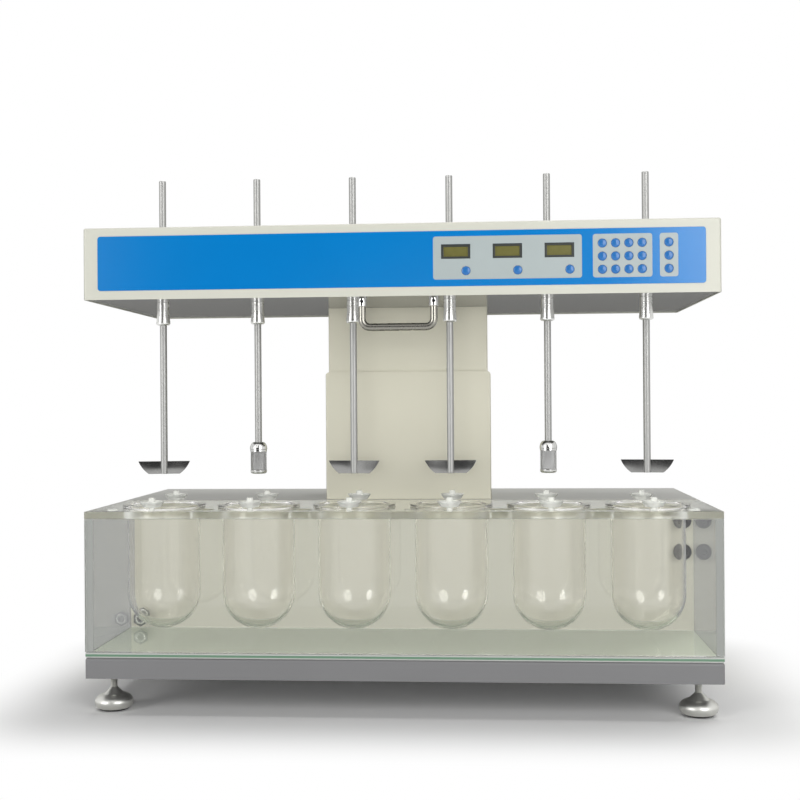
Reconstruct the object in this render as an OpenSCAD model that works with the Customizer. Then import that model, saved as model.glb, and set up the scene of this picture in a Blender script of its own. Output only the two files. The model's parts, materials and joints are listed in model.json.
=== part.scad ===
// Six-station dissolution tester: a clear water bath with six glass vessels,
// and a drive head on a telescopic column that carries six stirrers.
// Frame: +X to the right, +Y to the back, +Z up, origin on the bench under the middle of the base.

/* [Base and feet] */
// Height of the tray's underside above the bench
foot_h = 51.5; // [46:0.5:60]
// Diameter of a foot's rim, its widest place
foot_d = 54; // [44:1:60]
// Diameter of a foot's flat underside
foot_base_d = 31; // [24:1:40]
// Height of the rim above the bench
foot_rim_h = 13; // [8:0.5:18]
// Height of the bell above the rim
foot_bell_h = 18; // [14:1:28]
// Shoulder between the top of the bell and the stem
foot_shoulder = 0.5; // [0.2:0.1:2]
// Diameter of a foot's screwed stem
stem_d = 10; // [8:1:14]
// From the end of the base to a foot's axis
foot_inset_x = 29; // [28:1:60]
// From the front or back of the base to a foot's axis
foot_inset_y = 40; // [28:1:80]
// Height of the base tray
tray_h = 28.5; // [24:0.5:40]
// Thickness of the tray's sheet
tray_t = 2; // [1.5:0.5:3]
// Diameter of the nut under the tray that a stem turns in
foot_nut_d = 26; // [20:1:32]
// Height of that nut
foot_nut_h = 14; // [10:1:18]

/* [Tank] */
// From the last shaft to the end of the bath
end_margin = 90; // [80:1:120]
// From the front of the bath to the shafts
shaft_b = 92; // [85:1:120]
// From the shafts to the back of the tank
tank_back = 112; // [100:1:140]
// Thickness of the front, back and end panes
pane_t = 10; // [6:1:12]
// Thickness of the tank's floor sheet
floor_t = 8; // [5:1:12]
// Thickness of the plate that holds the vessels
plate_t = 10; // [6:1:14]
// Thickness of the cement line between panes
bond = 0.1; // [0.05:0.05:0.2]
// Diameter of the ports in the plate
port_hole_d = 32; // [20:1:40]
// From the front of the bath to those ports
port_hole_b = 34; // [26:1:45]
// Diameter of the two probe holes in the middle of the plate
probe_hole_d = 8; // [4:1:12]
// Distance between the two probe holes
probe_pitch = 20; // [14:1:40]

/* [Vessels] */
// Distance between two stations
station_pitch = 140; // [134:1:160]
// Inside diameter of a vessel
vessel_id = 100; // [90:1:104]
// Wall of a vessel
vessel_t = 2.5; // [2:0.5:4]
// From the top of the plate to the vessel's lowest point
vessel_depth = 176.5; // [150:0.5:190]
// Water space under the vessels
vessel_clear = 20; // [10:1:40]
// Diameter of the vessel's rim
rim_d = 120; // [112:1:126]
// Thickness of the vessel's rim
rim_t = 4; // [3:0.5:6]
// Diameter of a hold-down knob at its top
clamp_d = 34; // [26:1:38]
// Diameter of a hold-down knob at its underside
clamp_low_d = 24; // [18:1:26]
// Height of a hold-down knob, without its nub
clamp_h = 9; // [6:1:14]
// Diameter of the nub on a knob
nub_d = 9; // [6:1:12]
// Height of that nub
nub_h = 5; // [3:1:8]
// Diameter of a knob's post
clamp_post_d = 8; // [6:1:10]
// Space between a vessel's rim and a knob's post
clamp_post_gap = 4; // [1:0.5:6]

/* [Rear cabinet] */
// Depth of the cabinet behind the tank
cabinet_d = 246; // [230:1:300]
// How far the deck reaches past the cabinet's back wall
deck_overhang = 4; // [3:0.5:8]
// Sheet of the cabinet
cabinet_t = 1.5; // [1:0.5:3]
// Sheet of the deck
deck_t = 2; // [1:0.5:3]
// Height of the deck's folded back edge
deck_lip_h = 14; // [8:1:25]
// From the end of the bath to the axes of the water ports
port_inset = 25; // [22:1:40]
// Height of the left port above the tank floor
left_port_h = 14; // [13:1:40]
// Heights of the two right ports above the tank floor
right_port_h = [119, 166];
// Diameter of a port's barrel
port_d = 14; // [10:1:18]
// Diameter of a port's flange
port_flange_d = 24; // [20:1:30]
// Thickness of a port's flange
port_flange_t = 5; // [3:0.5:8]
// Length of a port's barrel inside the cabinet
port_tail = 5; // [4:0.5:6]
// Diameter of the water pipes inside the cabinet
pipe_d = 8; // [6:0.5:9]
// Diameter of the heater's body
heater_d = 60; // [40:1:70]
// Length of the heater's body
heater_len = 190; // [150:1:220]
// Diameter of the pump
pump_d = 80; // [60:1:90]
// Height of the pump
pump_h = 60; // [40:1:80]
// Width of the mains inlet's flange
inlet_w = 50; // [40:1:60]
// Height of the mains inlet's flange
inlet_h = 28; // [24:1:34]
// Depth of the mains inlet's body
inlet_body_d = 30; // [25:1:40]
// Width of the socket
socket_w = 25; // [20:1:30]
// Height of the socket
socket_h = 17; // [12:1:20]
// Depth of the socket
socket_d = 17; // [12:1:20]
// From the middle of the back to the inlet's centre
inlet_x = 300; // [200:5:380]
// Height of the inlet's centre above the tray
inlet_z = 60; // [40:1:120]
// Width of the rocker switch
switch_w = 20; // [16:1:26]
// Height of the rocker switch
switch_h = 26; // [20:1:32]
// Depth of the rocker's body
switch_d = 16; // [10:1:24]
// From the inlet's centre to the switch's centre
switch_step = 60; // [48:1:80]

/* [Column] */
// Width of the outer column
sleeve_w = 257; // [220:1:280]
// Depth of the outer column
sleeve_d = 130; // [110:1:150]
// Sheet of both columns
column_t = 2; // [1.5:0.5:3]
// Space between the two columns, on each side
column_gap = 2.5; // [2:0.5:5]
// From the back of the tank to the column
column_step = 18; // [16:1:40]
// Height of the outer column above the plate
sleeve_rise = 197.5; // [160:0.5:240]
// Travel of the head
lift_travel = 95; // [60:1:120]
// Space left above the outer column when the head is down
stop_gap = 5; // [1:0.5:10]
// Length of the inner column inside the outer one, head up
slide_overlap = 180; // [120:1:200]
// Thickness of the flange inside the top of the inner column
slide_flange_t = 4; // [3:0.5:6]
// How far that flange reaches into the inner column
slide_flange_in = 18; // [10:1:30]
// Height of a glide pad
glide_h = 40; // [20:1:60]
// Width of a glide pad
glide_w = 60; // [30:1:80]
// Diameter of the lift strut's cylinder
strut_d = 28; // [22:1:36]
// Diameter of the lift strut's rod
strut_rod_d = 12; // [8:1:14]
// Length of the rod inside the cylinder, head up
strut_overlap = 40; // [20:1:60]

/* [Head] */
// Height of the head
head_h = 100.5; // [90:0.5:120]
// From the front of the bath to the face of the head
head_b = 3; // [3:0.5:20]
// How far the head reaches behind the column
head_tail = 42; // [20:1:80]
// Sheet of the casing
head_t = 1.5; // [1:0.5:2.5]
// Radius of the casing's upright edges
head_r = 4; // [3:0.5:8]
// Weld seam under the casing's top sheet
head_seam = 0.05; // [0.05:0.05:0.2]
// How far the casing's edge stands below the bottom plate
head_skirt = 1.5; // [1:0.5:4]
// Thickness of the bottom plate
bottom_t = 3; // [2:0.5:5]
// Diameter of the holes for the shafts in the top of the casing
top_hole_d = 14; // [12:1:20]
// Diameter of the handle's rod
handle_d = 10.5; // [8:0.5:12]
// Distance between the handle's legs
handle_w = 100; // [80:1:116]
// Drop of the handle's bar below the bottom plate
handle_drop = 48; // [36:1:54]
// Radius of the handle's corners
handle_r = 11; // [8:1:16]
// From the front of the bath to the handle
handle_b = 25; // [20:1:50]

/* [Control panel] */
// Width of the overlay
panel_w = 838; // [800:1:850]
// Height of the overlay
panel_h = 76; // [70:1:84]
// Thickness of the overlay
panel_t = 1.2; // [0.8:0.1:1.4]
// Radius of the overlay's corners
panel_r = 4; // [2:0.5:8]
// Width of a display's window
lcd_w = 40; // [34:1:44]
// Height of a display's window
lcd_h = 20; // [16:1:24]
// Border of a display behind the overlay
lcd_border = 2; // [1:0.5:3]
// Distance between two displays
lcd_pitch = 70.5; // [60:0.5:76]
// From the middle of the head to the middle display
lcd_x = 152; // [140:1:160]
// Height of the displays above the middle of the panel
lcd_z = 9.5; // [7:0.5:12]
// Diameter of a key
key_d = 12; // [9:0.5:13]
// How far a key stands out of the overlay
key_rise = 1.4; // [1:0.1:1.5]
// Height of a key's dome
key_dome = 0.8; // [0.4:0.1:1]
// Distance between two keys of the pad
key_pitch = 17.8; // [16:0.1:18.5]
// From the middle of the head to the middle of the pad
pad_x = 307; // [300:1:312]
// From the middle of the head to the column of mode keys
mode_x = 369.5; // [360:0.5:376]
// From a display's middle to its key
display_key_dx = 14; // [0:1:20]
// Depth of a display's key below the middle of the panel
display_key_dz = 17; // [14:1:20]
// From the casing's face to the control board
board_b = 8; // [7:0.5:14]
// Thickness of the control board
board_t = 1.6; // [1:0.2:3]
// Margin of the board around the keys and displays
board_margin = 12; // [10:1:16]
// Diameter of the board's pillars
pillar_d = 6; // [4:1:8]
// Space between a key at rest and the board
key_free = 1; // [0.8:0.1:1.5]

/* [Drive] */
// Diameter of a spindle inside the head
quill_d = 16; // [14:0.5:17]
// Diameter of the chuck just below the head
chuck_d = 17.5; // [17:0.5:24]
// Diameter of the chuck's flared lower end
chuck_low_d = 21; // [18:0.5:26]
// Height of that flare
chuck_flare_h = 18; // [8:1:20]
// Length of the chuck below the casing
chuck_len = 31; // [20:1:40]
// Height of a bearing bush above the bottom plate
bush_h = 45; // [30:1:48]
// Outside diameter of a bush
bush_d = 28; // [24:1:34]
// Diameter of a bush's flange
bush_flange_d = 46; // [40:1:60]
// Thickness of a bush's flange
bush_flange_t = 5; // [3:1:8]
// Diameter of a pulley under its belt
pulley_d = 40; // [30:1:50]
// How far a pulley's flanges stand past the belt's track
pulley_lip = 2.5; // [2:0.5:4]
// Thickness of a pulley's flange
pulley_lip_t = 1.5; // [1:0.5:2]
// Width of a belt
belt_w = 8; // [6:1:9]
// Thickness of a belt
belt_t = 2; // [1:0.5:2.5]
// Room beside a belt between its flanges
belt_room = 1.2; // [0.6:0.1:1.5]
// How far a spindle stands above its pulley
quill_tail = 8; // [4:1:10]
// From the last spindle back to the motor
motor_step = 120; // [90:1:130]
// Diameter of the motor
motor_d = 60; // [50:1:70]
// Diameter of the motor's shaft
motor_shaft_d = 8; // [6:1:10]
// Depth of that shaft inside the motor
motor_shaft_in = 25; // [15:1:30]

/* [Stirrers] */
// Diameter of a stirrer's shaft
shaft_d = 10; // [8:0.5:11]
// Length of a stirrer, from its top to its lowest point
shaft_len = 429; // [400:1:460]
// How far a shaft stands above the head
shaft_rise = 80; // [40:1:140]
// Width of a paddle's upper edge
paddle_top_w = 74.5; // [70:0.5:78]
// Width of a paddle's lower edge
paddle_low_w = 45; // [38:1:50]
// Height of a paddle's blade
paddle_h = 18.5; // [16:0.5:21]
// Thickness of a paddle's blade
paddle_t = 4; // [3:0.5:5]
// Radius of a paddle's side edges
paddle_r = 41.5; // [38:0.5:60]
// Diameter of a basket
basket_d = 22.5; // [20:0.5:25]
// Height of a basket
basket_h = 35; // [30:1:40]
// Wall of a basket's mesh
basket_t = 0.8; // [0.5:0.1:1.2]
// Diameter of a basket's cap
cap_d = 25; // [23:0.5:28]
// Diameter of the top of the cap's dome
cap_top_d = 12; // [11.5:0.5:18]
// Height of a basket's cap
cap_h = 11; // [8:1:14]
// Turn of each stirrer about its shaft at rest, in degrees
stirrer_turn = [10, 0, -6, 3, 0, -8];

/* [Fits] */
// Radial clearance of a turning or sliding shaft
run_gap = 0.05; // [0.02:0.01:0.1]
// Clearance between pieces that don't touch
part_gap = 0.3; // [0.2:0.05:0.5]

/* [Hidden] */
$fn = 64;
stations = 6;
eps = 0.5;
bath_w = (stations - 1) * station_pitch + 2 * end_margin;
tank_d = shaft_b + tank_back;
bath_d = tank_d + cabinet_d;
front_y = -bath_d / 2;
shaft_y = front_y + shaft_b;
station_x = [for (i = [0 : stations - 1]) (i - (stations - 1) / 2) * station_pitch];

// Heights from the bench up
tray_top = foot_h + tray_h;
floor_top = tray_top + floor_t;
plate_top = floor_top + vessel_clear + vessel_depth;
plate_z = plate_top - plate_t;
pane_h = plate_z - floor_top;
sleeve_top = plate_top + sleeve_rise;
bottom_z = sleeve_top + stop_gap + lift_travel;
bottom_top = bottom_z + bottom_t;
head_z = bottom_z - head_skirt;
head_top = head_z + head_h;

// Vessels and knobs
vessel_od = vessel_id + 2 * vessel_t;
vessel_hole_d = vessel_od + 10 * part_gap;
clamp_reach = rim_d / 2 + clamp_post_gap + clamp_post_d / 2;

// Rear cabinet and column
cabinet_y = front_y + tank_d + bond;
cabinet_back_y = front_y + bath_d - deck_overhang;
deck_z = plate_top - deck_t;
column_y = front_y + tank_d + column_step;
column_mid_y = column_y + sleeve_d / 2;
slide_w = sleeve_w - 2 * (column_t + column_gap);
slide_d = sleeve_d - 2 * (column_t + column_gap);
slide_z = sleeve_top - slide_overlap;
left_port = [-bath_w / 2 + port_inset, floor_top + left_port_h];
right_ports = [for (h = right_port_h) [bath_w / 2 - port_inset, floor_top + h]];
ports = concat([left_port], right_ports);
port_tail_y = cabinet_y + cabinet_t + port_tail;
pipe_y = cabinet_y + cabinet_t + port_tail + part_gap + pipe_d / 2;

// Head and panel
head_y = front_y + head_b;
head_back_y = column_y + sleeve_d + head_tail;
head_d = head_back_y - head_y;
panel_z = head_z + head_h / 2;
panel_y = head_y - panel_t;
board_y = head_y + board_b;
display_spots = [for (i = [-1 : 1]) [lcd_x + i * lcd_pitch, panel_z + lcd_z]];
display_keys = [for (s = display_spots) [s[0] + display_key_dx, panel_z - display_key_dz]];
pad_keys = [for (row = [0 : 2], col = [0 : 3])
    [pad_x + (col - 1.5) * key_pitch, panel_z + (1 - row) * key_pitch]];
mode_keys = [for (row = [0 : 2]) [mode_x, panel_z + (1 - row) * key_pitch]];
key_spots = concat(display_keys, pad_keys, mode_keys);
key_hole_d = key_d + 2 * part_gap;

// Drive: belt tracks lie one above the other on each pulley
bush_top = bottom_top + bush_h;
track_w = belt_w + belt_room;
track_step = track_w + pulley_lip_t;
pulley_z = bush_top + part_gap;
pulley_h = 2 * track_w + 3 * pulley_lip_t;
quill_top = pulley_z + pulley_h + quill_tail;
chuck_z = head_z - chuck_len;
chuck_top = bottom_z - part_gap;
belt_r = pulley_d / 2 + part_gap;
motor_x = station_x[stations - 1];
motor_y = shaft_y + motor_step;
motor_h = bush_top - bottom_top;

// Stirrers
shaft_top = head_top + shaft_rise;
stirrer_low = shaft_top - shaft_len;
basket_stations = [1, 4];
cap_dome = [for (a = [0 : 15 : 90]) [(cap_top_d + (cap_d - cap_top_d) * cos(a)) / 2, cap_h * sin(a)]];

// A block from its left, front, lower corner
module block(x, y, z, w, d, h) {
    translate([x, y, z]) cube([w, d, h]);
}

// A rectangle about the origin with round corners
module round_rect(w, h, r) {
    square([w - 2 * r, h], center = true);
    square([w, h - 2 * r], center = true);
    for (x = [-1, 1], y = [-1, 1])
        translate([x * (w / 2 - r), y * (h / 2 - r)]) circle(r);
}

// A plate of that outline in the plane of the head's face, reaching back from y
module face_plate(w, h, r, x, y, z, t) {
    translate([x, y + t, z]) rotate([90, 0, 0]) linear_extrude(t) round_rect(w, h, r);
}

// A cylinder along Y from y towards the back
module rod_y(x, y, z, d, len) {
    translate([x, y, z]) rotate([-90, 0, 0]) cylinder(d = d, h = len);
}

// A cylinder along X from x to the right
module rod_x(x, y, z, d, len) {
    translate([x, y, z]) rotate([0, 90, 0]) cylinder(d = d, h = len);
}

// A rectangular tube about the column's axis
module column_tube(w, d, z, h) {
    difference() {
        block(-w / 2, column_mid_y - d / 2, z, w, d, h);
        block(-w / 2 + column_t, column_mid_y - d / 2 + column_t, z - eps,
              w - 2 * column_t, d - 2 * column_t, h + 2 * eps);
    }
}

function foot_spot(i) = [(i % 2 == 1 ? -1 : 1) * (bath_w / 2 - foot_inset_x),
                         (i <= 2 ? -1 : 1) * (bath_d / 2 - foot_inset_y)];

module base_tray() color("dimgray") difference() {
    union() {
        difference() {
            block(-bath_w / 2, front_y, foot_h, bath_w, bath_d, tray_h);
            block(-bath_w / 2 + tray_t, front_y + tray_t, foot_h - eps,
                  bath_w - 2 * tray_t, bath_d - 2 * tray_t, tray_h - tray_t + eps);
        }
        for (i = [1 : 4])
            translate(concat(foot_spot(i), tray_top - tray_t - foot_nut_h))
                cylinder(d = foot_nut_d, h = foot_nut_h + tray_t / 2);
    }
    for (i = [1 : 4])
        translate(concat(foot_spot(i), foot_h - eps))
            cylinder(d = stem_d + 2 * run_gap, h = tray_h - tray_t + eps);
}

// Radius of a foot's bell at a share of its height above the rim
function bell_r(share) = let(neck_r = stem_d / 2 + foot_shoulder)
    neck_r + (foot_d / 2 - neck_r) * (1 + cos(180 * share)) / 2;

module foot(i) color("silver") translate(foot_spot(i)) {
    under = [for (a = [0 : 15 : 75])
        [(foot_base_d + (foot_d - foot_base_d) * sin(a)) / 2, foot_rim_h * (1 - cos(a))]];
    bell = [for (share = [0 : 0.1 : 1]) [bell_r(share), foot_rim_h + foot_bell_h * share]];
    rotate_extrude() polygon(concat([[0, 0]], under, bell, [[0, foot_rim_h + foot_bell_h]]));
    cylinder(d = stem_d, h = tray_top - tray_t - part_gap);
}

module bath_tank() color("lightcyan", 0.4) {
    block(-bath_w / 2, front_y, tray_top, bath_w, tank_d, floor_t);
    block(-bath_w / 2, front_y, floor_top + bond, bath_w, pane_t, pane_h - bond);
    difference() {
        block(-bath_w / 2, front_y + tank_d - pane_t, floor_top + bond, bath_w, pane_t, pane_h - bond);
        for (p = ports)
            rod_y(p[0], front_y + tank_d - pane_t - eps, p[1], port_d + 2 * part_gap, pane_t + 2 * eps);
    }
    for (x = [-bath_w / 2, bath_w / 2 - pane_t])
        block(x, front_y + pane_t + bond, floor_top + bond,
              pane_t, tank_d - 2 * pane_t - 2 * bond, pane_h - bond);
}

module vessel_plate() color("lightcyan", 0.4) difference() {
    block(-bath_w / 2, front_y, plate_z, bath_w, tank_d, plate_t);
    for (x = station_x)
        translate([x, shaft_y, plate_z - eps]) cylinder(d = vessel_hole_d, h = plate_t + 2 * eps);
    for (i = [0 : stations - 2])
        if (i != (stations - 2) / 2)
            translate([station_x[i] + station_pitch / 2, front_y + port_hole_b, plate_z - eps])
                cylinder(d = port_hole_d, h = plate_t + 2 * eps);
    for (side = [-1, 1])
        translate([side * probe_pitch / 2, front_y + port_hole_b, plate_z - eps])
            cylinder(d = probe_hole_d, h = plate_t + 2 * eps);
}

module vessels() color("azure", 0.4) for (x = station_x)
    translate([x, shaft_y, plate_top]) difference() {
        bowl_z = vessel_od / 2 - vessel_depth;
        union() {
            cylinder(d = rim_d, h = rim_t);
            translate([0, 0, bowl_z]) cylinder(d = vessel_od, h = rim_t - bowl_z);
            translate([0, 0, bowl_z]) sphere(d = vessel_od);
        }
        translate([0, 0, bowl_z]) cylinder(d = vessel_id, h = rim_t - bowl_z + eps);
        translate([0, 0, bowl_z]) sphere(d = vessel_id);
    }

module vessel_clamps() color("white", 0.6) for (x = station_x, side = [-1, 1])
    translate([x, shaft_y + side * clamp_reach, plate_top]) {
        cylinder(d = clamp_post_d, h = rim_t + clamp_h);
        translate([0, 0, rim_t + part_gap]) {
            cylinder(d1 = clamp_low_d, d2 = clamp_d, h = clamp_h - part_gap);
            cylinder(d = nub_d, h = clamp_h - part_gap + nub_h);
        }
    }

module water_ports() color("black") for (p = ports) {
    rod_y(p[0], front_y + tank_d - pane_t - port_flange_t, p[1], port_flange_d, port_flange_t);
    rod_y(p[0], front_y + tank_d - pane_t - port_flange_t, p[1], port_d,
          port_tail_y - (front_y + tank_d - pane_t - port_flange_t));
}

module rear_cabinet() color("antiquewhite") difference() {
    block(-bath_w / 2, cabinet_y, tray_top, bath_w, cabinet_back_y - cabinet_y, deck_z - tray_top);
    block(-bath_w / 2 + cabinet_t, cabinet_y + cabinet_t, tray_top - eps, bath_w - 2 * cabinet_t,
          cabinet_back_y - cabinet_y - 2 * cabinet_t, deck_z - tray_top + 2 * eps);
    for (p = ports)
        rod_y(p[0], cabinet_y - eps, p[1], port_d + 2 * part_gap, cabinet_t + 2 * eps);
    block(inlet_x - socket_w / 2 - 2 * cabinet_t - part_gap, cabinet_back_y - cabinet_t - eps,
          tray_top + inlet_z - socket_h / 2 - 2 * cabinet_t - part_gap,
          socket_w + 4 * cabinet_t + 2 * part_gap, cabinet_t + 2 * eps,
          socket_h + 4 * cabinet_t + 2 * part_gap);
    block(inlet_x - switch_step - switch_w / 2 - part_gap, cabinet_back_y - cabinet_t - eps,
          tray_top + inlet_z - switch_h / 2 - part_gap,
          switch_w + 2 * part_gap, cabinet_t + 2 * eps, switch_h + 2 * part_gap);
}

module rear_deck() color("gray") difference() {
    union() {
        block(-bath_w / 2, cabinet_y, deck_z, bath_w, front_y + bath_d - cabinet_y, deck_t);
        block(-bath_w / 2, front_y + bath_d - deck_t, plate_top - deck_lip_h, bath_w, deck_t, deck_lip_h);
    }
    block(-sleeve_w / 2 - part_gap, column_y - part_gap, deck_z - eps,
          sleeve_w + 2 * part_gap, sleeve_d + 2 * part_gap, deck_t + 2 * eps);
}

// Pump and heater stand on the tray right of the column: water comes from the two right
// ports through a riser and goes back to the left port through a long pipe
module circulation_heater() color("darkgray") {
    riser_x = bath_w / 2 - port_inset;
    heater_x = riser_x - heater_len;
    heater_y = column_mid_y;
    heater_z = tray_top + heater_d / 2;
    translate([riser_x, pipe_y, tray_top])
        cylinder(d = pipe_d, h = floor_top + right_port_h[1] - tray_top);
    rod_y(riser_x, pipe_y, tray_top + pipe_d / 2, pipe_d, heater_y - pipe_y);
    rod_x(heater_x, heater_y, heater_z, heater_d, heater_len);
    translate([riser_x - pump_d / 2, heater_y + heater_d / 2 + pump_d / 4, tray_top])
        cylinder(d = pump_d, h = pump_h);
    rod_x(left_port[0], pipe_y, left_port[1], pipe_d, heater_x + heater_d / 2 - left_port[0]);
    rod_y(heater_x + heater_d / 2, pipe_y, left_port[1], pipe_d, heater_y - pipe_y);
}

module power_inlet() color("black") difference() {
    body_y = cabinet_back_y - inlet_body_d;
    union() {
        block(inlet_x - inlet_w / 2, cabinet_back_y, tray_top + inlet_z - inlet_h / 2,
              inlet_w, deck_t, inlet_h);
        block(inlet_x - socket_w / 2 - 2 * cabinet_t, body_y,
              tray_top + inlet_z - socket_h / 2 - 2 * cabinet_t,
              socket_w + 4 * cabinet_t, inlet_body_d, socket_h + 4 * cabinet_t);
    }
    block(inlet_x - socket_w / 2, cabinet_back_y + deck_t - socket_d, tray_top + inlet_z - socket_h / 2,
          socket_w, socket_d + eps, socket_h);
}

module power_switch() color("black") intersection() {
    block(inlet_x - switch_step - switch_w / 2, cabinet_back_y - switch_d,
          tray_top + inlet_z - switch_h / 2 + part_gap, switch_w, switch_d + deck_t,
          switch_h - 2 * part_gap);
    rod_x(inlet_x - switch_step - switch_w / 2, cabinet_back_y - switch_h / 2 + deck_t,
          tray_top + inlet_z, switch_h, switch_w);
}

module column_sleeve() color("antiquewhite")
    column_tube(sleeve_w, sleeve_d, tray_top, sleeve_top - tray_top);

// Pads fixed inside the outer column at two heights; the inner column slides on them
module column_glides() color("white") {
    pad_t = column_gap - part_gap;
    for (z = [slide_z + part_gap, sleeve_top - glide_h - column_t], side = [-1, 1]) {
        translate([0, column_mid_y + side * (sleeve_d / 2 - column_t - pad_t / 2), z + glide_h / 2])
            cube([glide_w, pad_t, glide_h], center = true);
        translate([side * (sleeve_w / 2 - column_t - pad_t / 2), column_mid_y, z + glide_h / 2])
            cube([pad_t, glide_w, glide_h], center = true);
    }
}

module lift_strut_cylinder() color("dimgray") translate([0, column_mid_y, 0]) {
    top = slide_z + strut_overlap;
    difference() {
        translate([0, 0, tray_top]) cylinder(d = strut_d, h = top - tray_top);
        translate([0, 0, slide_z - lift_travel - column_t])
            cylinder(d = strut_rod_d + 2 * run_gap, h = lift_travel + strut_overlap + column_t + eps);
    }
}

module lift_strut_rod() color("silver") translate([0, column_mid_y, slide_z])
    cylinder(d = strut_rod_d, h = bottom_z - slide_z);

module column_slide() color("antiquewhite") {
    column_tube(slide_w, slide_d, slide_z, bottom_z - slide_z);
    difference() {
        block(-slide_w / 2, column_mid_y - slide_d / 2, bottom_z - slide_flange_t,
              slide_w, slide_d, slide_flange_t);
        block(-slide_w / 2 + slide_flange_in, column_mid_y - slide_d / 2 + slide_flange_in,
              bottom_z - slide_flange_t - eps, slide_w - 2 * slide_flange_in,
              slide_d - 2 * slide_flange_in, slide_flange_t + 2 * eps);
    }
}

module key_holes(y, t) {
    for (k = key_spots) rod_y(k[0], y - eps, k[1], key_hole_d, t + 2 * eps);
}

// A frame folded from one strip, with the top sheet welded on it
module head_casing() color("antiquewhite") {
    difference() {
        translate([0, head_y + head_d / 2, head_z]) linear_extrude(head_h - head_t - head_seam)
            round_rect(bath_w, head_d, head_r);
        translate([0, head_y + head_d / 2, head_z - eps]) linear_extrude(head_h + 2 * eps)
            round_rect(bath_w - 2 * head_t, head_d - 2 * head_t, head_r - head_t);
        key_holes(head_y, head_t);
        for (s = display_spots)
            block(s[0] - lcd_w / 2 - lcd_border - part_gap, head_y - eps,
                  s[1] - lcd_h / 2 - lcd_border - part_gap, lcd_w + 2 * (lcd_border + part_gap),
                  head_t + 2 * eps, lcd_h + 2 * (lcd_border + part_gap));
    }
    difference() {
        translate([0, head_y + head_d / 2, head_top - head_t]) linear_extrude(head_t)
            round_rect(bath_w, head_d, head_r);
        for (x = station_x)
            translate([x, shaft_y, head_top - head_t - eps]) cylinder(d = top_hole_d, h = head_t + 2 * eps);
    }
}

module head_bottom_plate() color([0.42, 0.42, 0.4]) difference() {
    inset = head_t + part_gap;
    translate([0, head_y + head_d / 2, bottom_z]) linear_extrude(bottom_t)
        round_rect(bath_w - 2 * inset, head_d - 2 * inset, head_r - head_t);
    for (x = station_x)
        translate([x, shaft_y, bottom_z - eps]) cylinder(d = quill_d + 4 * part_gap, h = bottom_t + 2 * eps);
}

module control_panel() color("dodgerblue") difference() {
    face_plate(panel_w, panel_h, panel_r, 0, panel_y, panel_z, panel_t);
    key_holes(panel_y, panel_t);
    for (s = display_spots)
        block(s[0] - lcd_w / 2, panel_y - eps, s[1] - lcd_h / 2, lcd_w, panel_t + 2 * eps, lcd_h);
}

module lcd_displays() color("olive") for (s = display_spots)
    block(s[0] - lcd_w / 2 - lcd_border, head_y, s[1] - lcd_h / 2 - lcd_border,
          lcd_w + 2 * lcd_border, board_b, lcd_h + 2 * lcd_border);

module control_board() color("green") {
    left = display_spots[0][0] - lcd_w / 2 - board_margin;
    right = mode_x + key_d / 2 + board_margin;
    low = panel_z - key_pitch - key_d / 2 - board_margin;
    high = panel_z + key_pitch + key_d / 2 + board_margin;
    block(left, board_y, low, right - left, board_t, high - low);
    for (x = [left + pillar_d, right - pillar_d], z = [low + pillar_d / 2, high - pillar_d / 2])
        rod_y(x, head_y + head_t, z, pillar_d, board_b - head_t + board_t / 2);
}

module key(spot) color("royalblue") {
    tip_y = panel_y - key_rise;
    ball_r = (pow(key_d / 2, 2) + pow(key_dome, 2)) / (2 * key_dome);
    intersection() {
        rod_y(spot[0], tip_y, spot[1], key_d, board_y - key_free - tip_y);
        union() {
            translate([spot[0], tip_y + ball_r, spot[1]]) sphere(r = ball_r);
            rod_y(spot[0], tip_y + key_dome, spot[1], key_d, board_b + key_rise);
        }
    }
}

module lift_handle() color("silver") translate([0, front_y + handle_b, bottom_z]) {
    bar_z = handle_d / 2 - handle_drop;
    for (side = [-1, 1]) {
        translate([side * handle_w / 2, 0, bar_z + handle_r])
            cylinder(d = handle_d, h = -bar_z - handle_r);
        translate([side * (handle_w / 2 - handle_r), 0, bar_z + handle_r]) rotate([90, 0, 0])
            rotate([0, 0, side > 0 ? -90 : 180]) rotate_extrude(angle = 90)
                translate([handle_r, 0]) circle(d = handle_d);
    }
    rod_x(handle_r - handle_w / 2, 0, bar_z, handle_d, handle_w - 2 * handle_r);
}

module spindle_bushes() color("darkgoldenrod") for (x = station_x)
    translate([x, shaft_y, bottom_top]) difference() {
        union() {
            cylinder(d = bush_flange_d, h = bush_flange_t);
            cylinder(d = bush_d, h = bush_h);
        }
        translate([0, 0, -eps]) cylinder(d = quill_d + 2 * run_gap, h = bush_h + 2 * eps);
    }

// Two belt tracks between three flanges, bored for the shaft that carries them
module pulley(bore) difference() {
    union() {
        cylinder(d = pulley_d, h = pulley_h);
        for (level = [0 : 2])
            translate([0, 0, level * track_step]) cylinder(d = pulley_d + 2 * pulley_lip, h = pulley_lip_t);
    }
    translate([0, 0, -eps]) cylinder(d = bore, h = pulley_h + 2 * eps);
}

// A hollow spindle with its chuck, and the pulley that drives it
module spindle(i) color("silver") translate([station_x[i - 1], shaft_y, 0]) {
    difference() {
        union() {
            translate([0, 0, chuck_z]) cylinder(d = chuck_d, h = chuck_top - chuck_z);
            translate([0, 0, chuck_z]) cylinder(d1 = chuck_low_d, d2 = chuck_d, h = chuck_flare_h);
            translate([0, 0, chuck_z]) cylinder(d = quill_d, h = quill_top - chuck_z);
        }
        translate([0, 0, chuck_z - eps])
            cylinder(d = shaft_d + 2 * run_gap, h = quill_top - chuck_z + 2 * eps);
    }
    translate([0, 0, pulley_z]) pulley(quill_d + 2 * run_gap);
}

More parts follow.
